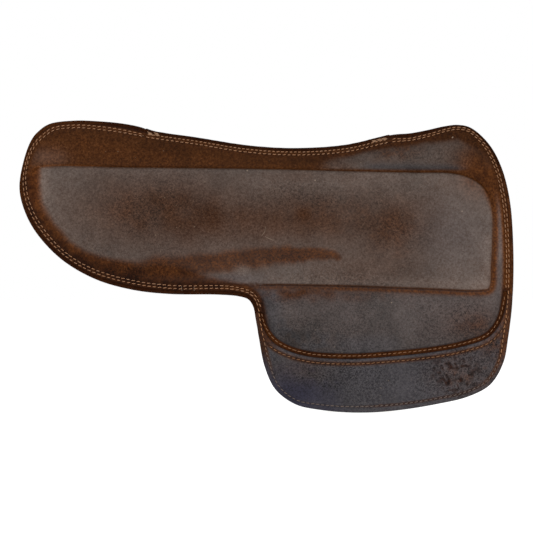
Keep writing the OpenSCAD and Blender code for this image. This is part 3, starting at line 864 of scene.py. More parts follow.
def masks_flap(q, f):
    x, z = q.T
    n1, n2, n3 = vnoise(q, 44, 31), vnoise(q, 18, 32), vnoise(q, 6, 33)
    dd, out = -f["u"], f["d"] - row_a(f["s"])
    fore = 0.7 * blob(q, 272, 56, 42, 32) + 0.3 * blob(q, 325, 80, 22, 50)
    slate_and_painted_light = np.clip(0.97 - 0.5 * fore - 0.35 * blob(q, 50, 62, 40, 24), 0, 1)
    worn_and_sheen = 0.5 + 0.2 * n2
    rust = fore * np.clip(0.02 + 0.4 * n2 + 0.6 * n3, 0, 1)
    rust = np.maximum(rust, 0.75 * blob(q, 322, 108, 22, 26) * np.clip(0.7 + 0.7 * n3, 0, 1) * (dd > 5))
    # sewn channels: along the seam, and round the hem
    rust = np.maximum(rust, 0.95 * bell(dd - 11.5, 2.5))
    dark = 0.95 * bell(dd - 11.5, 2.3) * (1 - 0.45 * bell(dd - 11.5, 0.9) - 0.25 * sstep(230, 300, x))
    dark = np.maximum(dark, 0.85 * sstep(5.8, 4.2, dd))
    n4 = vnoise(q, 4.2, 34)
    patch = np.clip(1.35 * blob(q, 268, 54, 33, 28), 0, 1)
    dark = np.maximum(dark, patch * np.clip(n4 * 3.2 - 0.05, 0, 1))
    rust = rust * (1 - 0.45 * patch * np.clip(n4 * 3, 0, 1))
    dark = np.maximum(dark, 0.5 * blob(q, 322, 100, 18, 26) * np.clip(n4 * 2.2 - 0.3, 0, 1))
    aft, fwd = x < 100, sstep(200, 240, x)
    low_end = np.where(aft, sstep(46, 92, z), sstep(22, 60, z))
    rust = np.maximum(rust, 0.92 * bell(out, 2.6) * low_end)
    rust = np.maximum(rust, fwd * sstep(40, 100, z) * (1 - sstep(1, 5, out)) * 0.9)
    dark = np.maximum(dark, (0.38 + 0.35 * fwd) * bell(out, 1.9) * (1 - 0.35 * low_end * fwd))
    dark = np.maximum(dark, np.where(aft, 0.62 * sstep(30, 110, z), 0.40 * fwd * sstep(90, 140, z)) * (1 - sstep(-3.4, -0.6, out)))
    slate_and_painted_light = slate_and_painted_light * (1 - 0.7 * np.maximum(bell(dd - 11.5, 3.0), bell(out, 2.6) * low_end))
    dark = np.maximum(dark, 0.8 * bell(out, 1.7) * sstep(110, 170, x) * sstep(318, 290, x))
    rust = np.maximum(rust, 0.5 * bell(out, 2.0) * sstep(110, 170, x) * sstep(318, 290, x))
    vee = np.where(aft, sstep(84, 106, z), 0.8 * fwd * sstep(104, 132, z))
    side = np.maximum(vee, np.where(aft, sstep(62, 96, z) * (1 - sstep(0.5, 3, out)), 0))
    rust = np.maximum(rust, 0.9 * side)
    dark = np.maximum(dark, np.where(aft, 0.58, 0.22 + 0.3 * n3) * side)
    return np.clip(np.c_[worn_and_sheen, rust, dark, slate_and_painted_light], 0, 1)


def masks_edge(q, f):
    """dark round the loin and the seam; browner, speckled, down the front edge"""
    k = np.ones(len(q))
    x, z = q.T
    n2, n3 = vnoise(q, 15, 41), vnoise(q, 5, 42)
    fwd = sstep(280, 315, x) * sstep(380, 300, z)
    back = sstep(-215, -300, x) * sstep(270, 330, z)
    return np.c_[0.12 * fwd * k, 0.25 + 0.2 * n2 + 0.55 * fwd + 0.2 * fwd * n3 + 0.5 * back,
                 0.85 + 0.12 * n2 - 0.42 * fwd - 0.40 * back + 0.3 * fwd * n3 - 0.25 * fwd * sstep(215, 175, z), 0 * k].clip(0, 1)


def masks_welt(q, f):
    k = np.ones(len(q))
    n2 = vnoise(q, 15, 41)
    return np.c_[0 * k, 0.55 + 0.3 * n2, 0.60 + 0.2 * n2, 0 * k].clip(0, 1)


# ---------------------------------------------------------------- padding
def puff():
    """how the padding pushes the leather out between its seams: a cloth sheet held at the sewn rows,
    at the panel's edge and along the flap seam, filled by pressure. Returns outward movement, mm."""
    g = 8.0
    xs, zs = np.arange(-344, 345, g), np.arange(4, 412, g * 0.866)
    gx, gz = np.meshgrid(xs, zs)
    gx[1::2] += g / 2
    grid = np.c_[gx.ravel(), gz.ravel()]
    grid = grid[inside(grid, RIM.p[::4])]
    rd, rs = RIM.near(grid)
    pd = RIDGE.near(grid)[0]
    sd = SEAM.near(grid)[0]
    keep = (rd > 16) & (np.abs(pd + 3.5) > 7) & ((np.abs(sd) > 7) | (grid[:, 1] > 195)) & (np.abs(sd - 11.5) > 5)
    held = [RIM.loop(lambda q: row_b(q) + 0.5, 7.0), RIM.loop(3.0, 9.0), RIDGE.loop(-3.5, 8.0),
            SEAM.loop(0.0, 8.0, 0, SEAM.length), SEAM.loop(11.5, 8.0, 40, SEAM.length - 40)]
    held = thin(np.vstack(held), 4.0)
    held = held[inside(held, RIM.p[::4])]
    pts = np.vstack([held, thin(grid[keep], 4.0)])
    n_held = len(held)
    loop = RIM.loop(0.5, 8.0)
    loop = loop if area2(loop) > 0 else loop[::-1]
    v, t = triangulate(loop, pts)
    nl = len(loop)
    kd = KDTree(n_held)
    for i, h in enumerate(held):
        kd.insert((h[0], h[1], 0), i)
    kd.balance()
    pin = np.array([kd.find((a, b, 0))[2] < 0.05 for a, b in v])
    pin[:nl] = True
    # a slightly slack sheet, in metres at true size
    jit = np.random.default_rng(77).uniform(-0.4, 0.4, len(v))
    co = np.c_[v[:, 0], v[:, 1], jit * (~pin)] / 1000.0
    o = make_mesh("pad_sheet", co, t)
    vg = o.vertex_groups.new(name="sewn")
    vg.add([int(i) for i in np.nonzero(pin)[0]], 1.0, "REPLACE")
    md = o.modifiers.new("cloth", "CLOTH")
    st = md.settings
    st.quality, st.mass = 5, 0.35
    st.tension_stiffness = st.compression_stiffness = 18
    st.shear_stiffness, st.bending_stiffness = 9, 0.6
    st.vertex_group_mass = "sewn"
    st.use_pressure = True
    st.uniform_pressure_force = 4.0
    st.effector_weights.gravity = 0.0
    st.shrink_min = -0.012
    md.collision_settings.use_collision = False
    sc = bpy.context.scene
    sc.frame_start, sc.frame_end = 1, 20
    md.point_cache.frame_start, md.point_cache.frame_end = 1, 20
    for fr in range(1, 21):
        sc.frame_set(fr)
    dg = bpy.context.evaluated_depsgraph_get()
    ev = o.evaluated_get(dg)
    me = ev.to_mesh()
    out = np.zeros(len(me.vertices) * 3)
    me.vertices.foreach_get("co", out)
    out = out.reshape(-1, 3) * 1000.0
    ev.to_mesh_clear()
    sc.frame_set(1)
    bpy.data.objects.remove(o)
    rise = np.clip(np.abs(out[:, 2]) * np.sign(np.median(out[~pin, 2]) or 1) * np.sign(out[:, 2] + 1e-9), -2.0, 16.0)
    return v, t, rise, out


def make_sim():
    v, t, rise, _ = puff()
    tree = BVHTree.FromPolygons([(a, b, 0.0) for a, b in v], [tuple(f) for f in t])
    tri = np.array(t)
    hi = max(1e-3, np.percentile(rise, 97))
    rise = np.clip(rise / hi, -0.2, 1.15)          # keep the pattern, cap how far it may stand out
    for _ in range(2):                              # soften the coarse facets
        acc, cnt = np.zeros(len(v)), np.zeros(len(v))
        for a, b in ((0, 1), (1, 2), (2, 0)):
            np.add.at(acc, tri[:, a], rise[tri[:, b]])
            np.add.at(acc, tri[:, b], rise[tri[:, a]])
            np.add.at(cnt, tri[:, a], 1)
            np.add.at(cnt, tri[:, b], 1)
        rise = 0.5 * rise + 0.5 * acc / np.maximum(cnt, 1)

    def at(q):
        out = np.zeros(len(q))
        for i, (x, z) in enumerate(q):
            loc, _, k, dist = tree.find_nearest((x, z, 0.0))
            if k is None:
                continue
            a, b, c = v[tri[k]]
            d = (b[0] - a[0]) * (c[1] - a[1]) - (b[1] - a[1]) * (c[0] - a[0])
            w1 = ((x - a[0]) * (c[1] - a[1]) - (z - a[1]) * (c[0] - a[0])) / d
            w2 = ((b[0] - a[0]) * (z - a[1]) - (b[1] - a[1]) * (x - a[0])) / d
            w1, w2 = min(max(w1, 0), 1), min(max(w2, 0), 1)
            out[i] = rise[tri[k, 0]] * (1 - w1 - w2) + rise[tri[k, 1]] * w1 + rise[tri[k, 2]] * w2
        d = RIM.near(q)[0]
        return 1.7 * out * sstep(4, 16, d)
    return at


SIM = make_sim()


def sim_at(q):
    return SIM(q) if SIM is not None else None


def face_u(q, f=None):
    return height(q, f or fields(q), sim_at(q))


def core_top(q, f):
    return np.maximum(height(q, f, sim_at(q)) - 2.35 - 5.0 * panel_step(q, f) * sstep(0.5, 4.0, f["p"]), 3.15)


def inner_u(q, f):
    """the lining's face, next to the horse"""
    d, s = f["d"], f["s"]
    h = U_IN + 0.30 * bell(d - row_a(s), 1.4)
    h = h + 0.30 * bell(d - row_b(s), 1.4) * (1 - hem_amount(s))
    g = (q[:, 1] < 195) & (q[:, 0] > -20)
    h = h + g * 0.28 * (bell(f["u"], 1.5) + bell(f["u"] + 11.5, 1.5))
    return h + 0.10 * vnoise(q, 9, 51) + 0.06 * vnoise(q, 4, 52)


def welt_u(ss, d, nrm_q):
    """top of the strip sunk in the flap seam"""
    return nrm_q - 1.75 + 0.75 * bell(d - 0.3, 2.9)


def seam_strip(ss, ds):
    p, t, n = SEAM.at(ss)
    up = face_u(p - 7.0 * n)
    dn = face_u(p + 7.2 * n)
    ds = np.asarray(ds)
    q = p[:, None, :] + n[:, None, :] * ds[None, :, None]
    lev = up[:, None] + (dn - up)[:, None] * np.clip((ds[None, :] + 7) / 14.2, 0, 1)
    top = lev - 1.75 + 0.7 * bell(ds - 0.3, 2.9)[None, :] - 1.1 * (sstep(2.8, 5.0, np.abs(ds - 0.3)))[None, :]
    top = top - 0.45 * bell(ds - 0.2, 0.9)[None, :]
    out = np.minimum(ss - 13, SEAM.length - 13 - ss)
    top = top - (1.3 * (1 - sstep(2, 12, out)))[:, None]
    return q, top


# ---------------------------------------------------------------- materials
def lin(r, g, b):
    f = lambda c: (c / 255 / 12.92) if c <= 10.3 else ((c / 255 + 0.055) / 1.055) ** 2.4
    return (f(r), f(g), f(b), 1.0)


class Tree:
    def __init__(self, name):
        self.mat = bpy.data.materials.new(name)
        self.mat.use_nodes = True
        self.t = self.mat.node_tree
        self.t.nodes.clear()
        self.out = self.t.nodes.new("ShaderNodeOutputMaterial")

    def put(self, sock, v):
        if isinstance(v, bpy.types.NodeSocket):
            self.t.links.new(v, sock)
        elif hasattr(v, "__len__") and hasattr(sock.default_value, "__len__") and len(sock.default_value) == 3:
            sock.default_value = v[:3]
        else:
            sock.default_value = v

    def node(self, kind, props=None, **ins):
        n = self.t.nodes.new(kind)
        for k, v in (props or {}).items():
            setattr(n, k, v)
        for k, v in ins.items():
            self.put(n.inputs[k.replace("_", " ")], v)
        return n

    def attr(self, name, out="Vector"):
        return self.node("ShaderNodeAttribute", {"attribute_name": name}).outputs[out]

    def math(self, op, a, b=0.0, c=0.0, clamp=False):
        n = self.t.nodes.new("ShaderNodeMath")
        n.operation, n.use_clamp = op, clamp
        for s, v in zip(n.inputs, (a, b, c)):
            self.put(s, v)
        return n.outputs[0]

    def mix(self, f, a, b, mode="MIX"):
        n = self.t.nodes.new("ShaderNodeMix")
        n.data_type, n.blend_type = "RGBA", mode
        self.put(n.inputs[0], f)
        self.put(n.inputs[6], a)
        self.put(n.inputs[7], b)
        return n.outputs[2]

    def ramp(self, f, lo, hi, a=0.0, b=1.0):
        n = self.node("ShaderNodeMapRange", {"clamp": True})
        for k, v in zip(("Value", "From Min", "From Max", "To Min", "To Max"), (f, lo, hi, a, b)):
            self.put(n.inputs[k], v)
        return n.outputs[0]

    def noise(self, vec, scale, detail=3.0, rough=0.55, dist=0.0):
        n = self.node("ShaderNodeTexNoise", {"noise_dimensions": "3D"}, Vector=vec, Scale=scale, Detail=detail)
        n.inputs["Roughness"].default_value = rough
        n.inputs["Distortion"].default_value = dist
        return n.outputs["Fac"]

    def voronoi(self, vec, scale, feature="F1", rand=1.0):
        n = self.node("ShaderNodeTexVoronoi", {"feature": feature}, Vector=vec, Scale=scale)
        n.inputs["Randomness"].default_value = rand
        return n.outputs["Distance"]

    def bump(self, h, strength, dist, normal=None):
        n = self.node("ShaderNodeBump", None, Height=h, Strength=strength, Distance=dist)
        if normal is not None:
            self.put(n.inputs["Normal"], normal)
        return n.outputs["Normal"]

    def finish(self, color, rough, normal, spec=0.5, sheen=0.0, coat=0.0, sheen_tint=None):
        b = self.node("ShaderNodeBsdfPrincipled")
        self.put(b.inputs["Base Color"], color)
        self.put(b.inputs["Roughness"], rough)
        self.put(b.inputs["Normal"], normal)
        self.put(b.inputs["Specular IOR Level"], spec)
        b.inputs["Sheen Weight"].default_value = sheen
        b.inputs["Sheen Roughness"].default_value = 0.6
        if sheen_tint:
            b.inputs["Sheen Tint"].default_value = sheen_tint
        b.inputs["Coat Weight"].default_value = coat
        b.inputs["Coat Roughness"].default_value = 0.35
        self.t.links.new(b.outputs[0], self.out.inputs["Surface"])
        return self.mat


# small pale nicks and dry cracks in the worn leather, mm: start, end, half width, strength
MARKS = [(-6, 250, -2, 255, 0.5, 0.3), (-2, 255, -1, 262, 0.4, 0.25), (-1, 248, 7, 244, 0.55, 0.3), (7, 244, 11, 243, 0.4, 0.25),
         (-27, 342, -26.5, 342.4, 0.8, 0.6), (69, 328, 69.5, 328.3, 0.8, 0.6), (264, 390, 264.6, 390.4, 0.9, 0.6),
         (277, 284, 277.5, 284.3, 0.8, 0.5), (177, 155, 177.4, 155.3, 0.8, 0.5), (-120, 178, -119, 170, 0.5, 0.3), (-102, 179, -102, 168, 0.5, 0.3)]


def stroke(m, v, x0, z0, x1, z1, w, rag):
    """1 on a short stroke on the sheet, ragged at its edge"""
    a = Vector((x0 / 1000, z0 / 1000, 0))
    b = Vector((x1 / 1000, z1 / 1000, 0))
    flat = m.node("ShaderNodeVectorMath", {"operation": "MULTIPLY"})
    m.put(flat.inputs[0], v)
    flat.inputs[1].default_value = (1, 1, 0)
    rel = m.node("ShaderNodeVectorMath", {"operation": "SUBTRACT"})
    m.put(rel.inputs[0], flat.outputs[0])
    rel.inputs[1].default_value = a
    dot = m.node("ShaderNodeVectorMath", {"operation": "DOT_PRODUCT"})
    m.put(dot.inputs[0], rel.outputs[0])
    dot.inputs[1].default_value = (b - a) / (b - a).length_squared
    t = m.math("MULTIPLY", dot.outputs["Value"], 1.0, clamp=True)
    along = m.node("ShaderNodeVectorMath", {"operation": "SCALE"})
    along.inputs[0].default_value = b - a
    m.put(along.inputs["Scale"], t)
    off = m.node("ShaderNodeVectorMath", {"operation": "DISTANCE"})
    m.put(off.inputs[0], rel.outputs[0])
    m.put(off.inputs[1], along.outputs[0])
    r = m.math("ADD", off.outputs["Value"], m.math("MULTIPLY", m.math("SUBTRACT", rag, 0.5), w * 0.0016))
    return m.ramp(r, w * 0.0013, w * 0.0005)


def leather(name, kind):
    """waxed leather showing wear, its grey partly a painted sheen. kind: cover, flap, edge or welt"""
    m = Tree(name)
    v = m.attr("sheet")
    mask = m.attr("mask", "Color")
    sep = m.node("ShaderNodeSeparateColor", None, Color=mask)
    worn_and_sheen, rust, dark = sep.outputs
    slate_and_painted_light = m.attr("mask", "Alpha")
    big = m.noise(v, 16, 3, 0.55, 0.3)
    mid = m.noise(v, 310, 4, 0.62, 0.2)
    fine = m.noise(v, 560, 3, 0.7)
    tiny = m.noise(v, 1700, 2, 0.6)
    pores = m.voronoi(v, 1000)
    speck = m.voronoi(v, 90)
    t = m.ramp(mid, 0.34, 0.66)
    c_brown = m.mix(t, lin(54, 26, 7), lin(82, 47, 20))
    # grey-brown: part wear, part painted sheen on the dark brown leather
    c_worn_and_sheen = m.mix(t, lin(75, 62, 55), lin(93, 82, 76))
    c_worn_and_sheen = m.mix(m.ramp(big, 0.46, 0.66, 0, 0.18), c_worn_and_sheen, lin(76, 54, 42))
    c_rust = m.mix(t, lin(54, 25, 6), lin(96, 55, 24))
    c_dark = m.mix(t, lin(24, 8, 2), lin(44, 18, 6))
    # blue-grey: partly painted sheen; on the cover it also paints a shadow band and a highlight wedge
    c_slate_and_painted_light = m.mix(t, lin(56, 53, 57), lin(74, 71, 73))
    if kind == "flap":
        c_slate_and_painted_light = m.mix(m.ramp(m.attr("tone", "Fac"), -0.08, -0.40, 0, 0.8), c_slate_and_painted_light, lin(60, 58, 78))
    nz = m.math("SUBTRACT", m.math("ADD", m.math("MULTIPLY", mid, 0.6), m.math("MULTIPLY", fine, 0.9)), 0.75)
    soft = lambda k, w: m.ramp(m.math("ADD", k, m.math("MULTIPLY", nz, w)), 0.05, 0.95)
    col = m.mix(soft(worn_and_sheen, 0.7), c_brown, c_worn_and_sheen)
    col = m.mix(soft(slate_and_painted_light, 0.5), col, c_slate_and_painted_light)
    col = m.mix(soft(rust, 0.7), col, c_rust)
    col = m.mix(m.ramp(m.math("ADD", dark, m.math("MULTIPLY", nz, 0.3)), 0.08, 0.98), col, c_dark)
    # fine grain, with darker pitting in some places
    shade = m.ramp(fine, 0.28, 0.72, 0.76, 1.24)
    # the next factor brings random mottling, painted highlights and painted shade into the colour
    shade = m.math("MULTIPLY", shade, m.math("ADD", 0.97, m.attr("tone", "Fac")))
    shade = m.math("MULTIPLY", shade, m.ramp(m.noise(v, 48, 3, 0.6), 0.3, 0.7, 0.91, 1.09))
    crack = m.noise(v, 430, 4, 0.72, 0.7)
    clump = m.noise(v, 300 if kind == "cover" else 240, 4, 0.72, 1.2)
    hard = m.math("MAXIMUM", m.ramp(crack, 0.465, 0.425), m.math("MULTIPLY", m.ramp(clump, 0.455, 0.415), 0.8))
    fleck = m.ramp(m.noise(v, 340, 2, 0.5, 0.4), 0.395, 0.35)
    hard = m.math("MAXIMUM", hard, m.math("MULTIPLY", fleck, 1.1))
    pit = m.math("MULTIPLY", hard, m.attr("pits", "Fac"))
    shade = m.math("MULTIPLY", shade, m.math("SUBTRACT", 1.05, m.math("MULTIPLY", pit, 0.8 if kind == "flap" else 0.66)))
    comb = m.node("ShaderNodeCombineColor")
    for s in comb.inputs:
        m.put(s, shade)
    col = m.mix(1.0, col, comb.outputs[0], "MULTIPLY")
    dots = m.math("MULTIPLY", m.ramp(speck, 0.10, 0.04), m.ramp(m.noise(v, 9, 2), 0.52, 0.6))
    col = m.mix(m.math("MULTIPLY", dots, 0.35), col, lin(150, 132, 112))
    scuff = m.node("ShaderNodeMapping", None, Vector=v, Rotation=(0, 0, 0.5), Scale=(1, 7, 1)).outputs[0]
    sc = m.math("MULTIPLY", m.ramp(m.noise(scuff, 60, 3, 0.7), 0.70, 0.80), m.ramp(big, 0.52, 0.6))
    col = m.mix(m.math("MULTIPLY", sc, 0.25), col, lin(120, 106, 92))
    if kind == "cover":
        for x0, z0, x1, z1, w, k in MARKS:
            col = m.mix(m.math("MULTIPLY", stroke(m, v, x0, z0, x1, z1, w, fine), k), col, lin(156, 138, 120))
    rough = m.ramp(mid, 0.3, 0.75, 0.50, 0.64)
    spec = m.math("ADD", 0.02 if kind == "edge" else 0.05, m.math("MULTIPLY", worn_and_sheen, 0.15))
    n1 = m.bump(pores, 0.20, 0.0002)
    n2 = m.bump(tiny, 0.15, 0.00015, n1)
    n3 = m.bump(fine, 0.25, 0.0003, n2)
    n4 = m.bump(m.noise(v, 140, 4, 0.6), 0.25, 0.0007, n3)
    return m.finish(col, rough, n4, spec)


def thread(name, a, b, c, lo=0.55):
    """waxed linen: two plies twisted along the stitch, each stitch a little different"""
    m = Tree(name)
    run = m.node("ShaderNodeSeparateXYZ", None, Vector=m.attr("run")).outputs
    t = m.math("ADD", m.math("MULTIPLY", run[0], 5200.0), m.math("MULTIPLY", run[1], 3600.0))
    ply = m.math("SINE", t)
    col = m.mix(m.ramp(ply, -0.7, 0.9), lin(*a), lin(*b))
    col = m.mix(m.ramp(run[2], lo, 1.0, 0, 0.8), col, lin(*c))
    dirt = m.noise(m.attr("run"), 900, 2)
    col = m.mix(m.ramp(dirt, 0.5, 0.8, 0, 0.4), col, lin(92, 62, 38))
    nrm = m.bump(ply, 0.5, 0.00016)
    return m.finish(col, 0.7, nrm, 0.15)


def felt(name, a, b, hair=1.0):
    m = Tree(name)
    v = m.attr("sheet")
    f1, f2 = m.noise(v, 160, 5, 0.75, 1.2), m.noise(v, 700, 4, 0.8, 2.0)
    big = m.noise(v, 18, 3)
    col = m.mix(m.ramp(f1, 0.3, 0.72), lin(*a), lin(*b))
    col = m.mix(m.ramp(big, 0.45, 0.75, 0, 0.35), col, lin(int(a[0] * 0.72), int(a[1] * 0.68), int(a[2] * 0.6)))
    fl = m.ramp(f2, 0.3, 0.75, 0.8, 1.15)
    comb = m.node("ShaderNodeCombineColor")
    for s in comb.inputs:
        m.put(s, fl)
    col = m.mix(1.0, col, comb.outputs[0], "MULTIPLY")
    n = m.bump(f2, 0.6 * hair, 0.0006)
    n = m.bump(f1, 0.45 * hair, 0.0012, n)
    return m.finish(col, 0.95, n, 0.08, 0.15, 0.0, lin(235, 225, 205))


MAT = {
    "cover": leather("cover_leather", "cover"),
    "flap": leather("flap_leather", "flap"),
    "edge": leather("edge_leather", "edge"),
    "thread": thread("edge_thread", (132, 90, 60), (184, 140, 106), (160, 124, 98)),
    "seamrow": thread("seam_thread", (116, 78, 50), (166, 122, 88), (142, 108, 82)),
    "hem": thread("hem_thread", (88, 78, 74), (132, 118, 108), (186, 130, 84), 0.15),
    "tack": thread("tack_thread", (130, 98, 74), (170, 136, 108), (154, 122, 96)),
    "lining": felt("wool_lining", (196, 184, 160), (222, 212, 190)),
    "core": felt("core_felt", (120, 112, 100), (150, 142, 128)),
    "foam": felt("insert_foam", (176, 160, 120), (196, 182, 146), 0.6),
}


def hem_shade(c):
    """the hem thread is tan where it leaves the edge rows and greyer along the bottom"""
    return np.where(c[:, 0] > 200, sstep(52, 92, c[:, 1]), sstep(70, 112, c[:, 1]))


def dress(o, mat):
    o.data.materials.clear()
    o.data.materials.append(MAT[mat])
    return o


# ---------------------------------------------------------------- the pieces
def flex(o):
    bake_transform(o)
    return o


def binding(name, s0, s1, side):
    s = np.linspace(s0, s1, int((s1 - s0) / 1.9))
    p, t, n = RIM.at(s)
    bw = np.clip(row_a(s) - 2.3, 2.4, 4.6)
    hb, hm = face_u(p + n * bw[:, None]), face_u(p + n * 1.3)
    mid = 0.5 * (hm + U_IN)
    one = np.ones_like(s)
    end = np.minimum(s - s0, s1 - s)
    k = sstep(0, 14, end)
    swell = 0.12 * vnoise(p, 9, 61) - 0.75 * (1 - k)
    outer = [(bw, hb + 0.08), (bw - 0.2, hb + 0.1 + 0.4 * k), (bw - 0.7, hb + 0.78 + swell), (0.5 * bw + 0.6, hb + 0.85 + swell),
             (1.3 * one, hm + 0.62 + swell), (0.5 * one, hm + 0.05), (0.0 * one, mid + 0.9), (-0.12 * one, mid),
             (0.1 * one, mid - 0.9), (0.55 * one, U_IN + 0.45), (1.3 * one, U_IN - 0.18 * one),
             (3.0 * one, U_IN - 0.34 * one), (4.3 * one, U_IN - 0.2 * one)]
    inner = [(bw, hb - 0.75), (bw - 0.2, hb - 0.7), (bw - 0.7, hb - 0.6), (0.5 * bw + 0.7, hb - 0.6),
             (1.9 * one, hm - 0.7), (1.5 * one, hm - 1.0), (1.2 * one, mid + 0.6), (1.15 * one, mid),
             (1.2 * one, mid - 0.6), (1.4 * one, U_IN + 0.85), (1.9 * one, U_IN + 0.55 * one),
             (3.0 * one, U_IN + 0.3 * one), (4.3 * one, U_IN + 0.3 * one)]
    dd = np.array([np.broadcast_to(a, s.shape) for a, _ in outer]).T
    uu = np.array([np.broadcast_to(b, s.shape) for _, b in outer]).T
    di = np.array([np.broadcast_to(a, s.shape) for a, _ in inner]).T
    ui = np.array([np.broadcast_to(b, s.shape) for _, b in inner]).T
    ui = np.minimum(ui, np.where(np.arange(ui.shape[1]) < 7, uu - 0.3, 99))
    xz = p[:, None, :] + n[:, None, :] * dd[..., None]
    low = np.dstack([p[:, None, :] + n[:, None, :] * di[..., None], ui])
    return ribbon(name, xz, uu, low, side, masks=masks_edge)


def outer_face(q):
    return face_u(q)


def lining_face(q):
    return inner_u(q, fields(q))


lining_face.out = -1.0


def seam_face(q):
    d, ss = SEAM.near(q)
    p, t, n = SEAM.at(ss)
    up, dn = face_u(p - 7.0 * n), face_u(p + 7.2 * n)
    return up + (dn - up) * np.clip((d + 7) / 14.2, 0, 1) - 1.75 + 0.25


def row(fn_d, s0, s1, pitch, phase=0.5):
    """evenly spaced stitch centres along the rim at distance fn_d(s)"""
    s = np.arange(s0, s1, 0.5)
    p, t, n = RIM.at(s)
    q = p + n * fn_d(s)[:, None]
    c = np.r_[0, np.cumsum(np.hypot(*np.diff(q, axis=0).T))]
    k = max(1, int(round(c[-1] / pitch)))
    at = (np.arange(k) + phase) * c[-1] / k
    ss = np.interp(at, c, s)
    q = np.c_[np.interp(at, c, q[:, 0]), np.interp(at, c, q[:, 1])]
    tt = RIM.at(ss)[1]
    return q, tt


def seam_row(d, s0, s1, pitch):
    s = np.arange(s0, s1, 0.5)
    p, t, n = SEAM.at(s)
    q = p + n * d
    c = np.r_[0, np.cumsum(np.hypot(*np.diff(q, axis=0).T))]
    k = int(round(c[-1] / pitch))
    at = (np.arange(k) + 0.5) * c[-1] / k
    ss = np.interp(at, c, s)
    q = np.c_[np.interp(at, c, q[:, 0]), np.interp(at, c, q[:, 1])]
    return q, SEAM.at(ss)[1]


def both_faces(q, t, ln, rad, slant, face=outer_face):
    return [(q, t, face, ln, rad, slant), (q, t, lining_face, ln, rad * 0.95, -slant)]


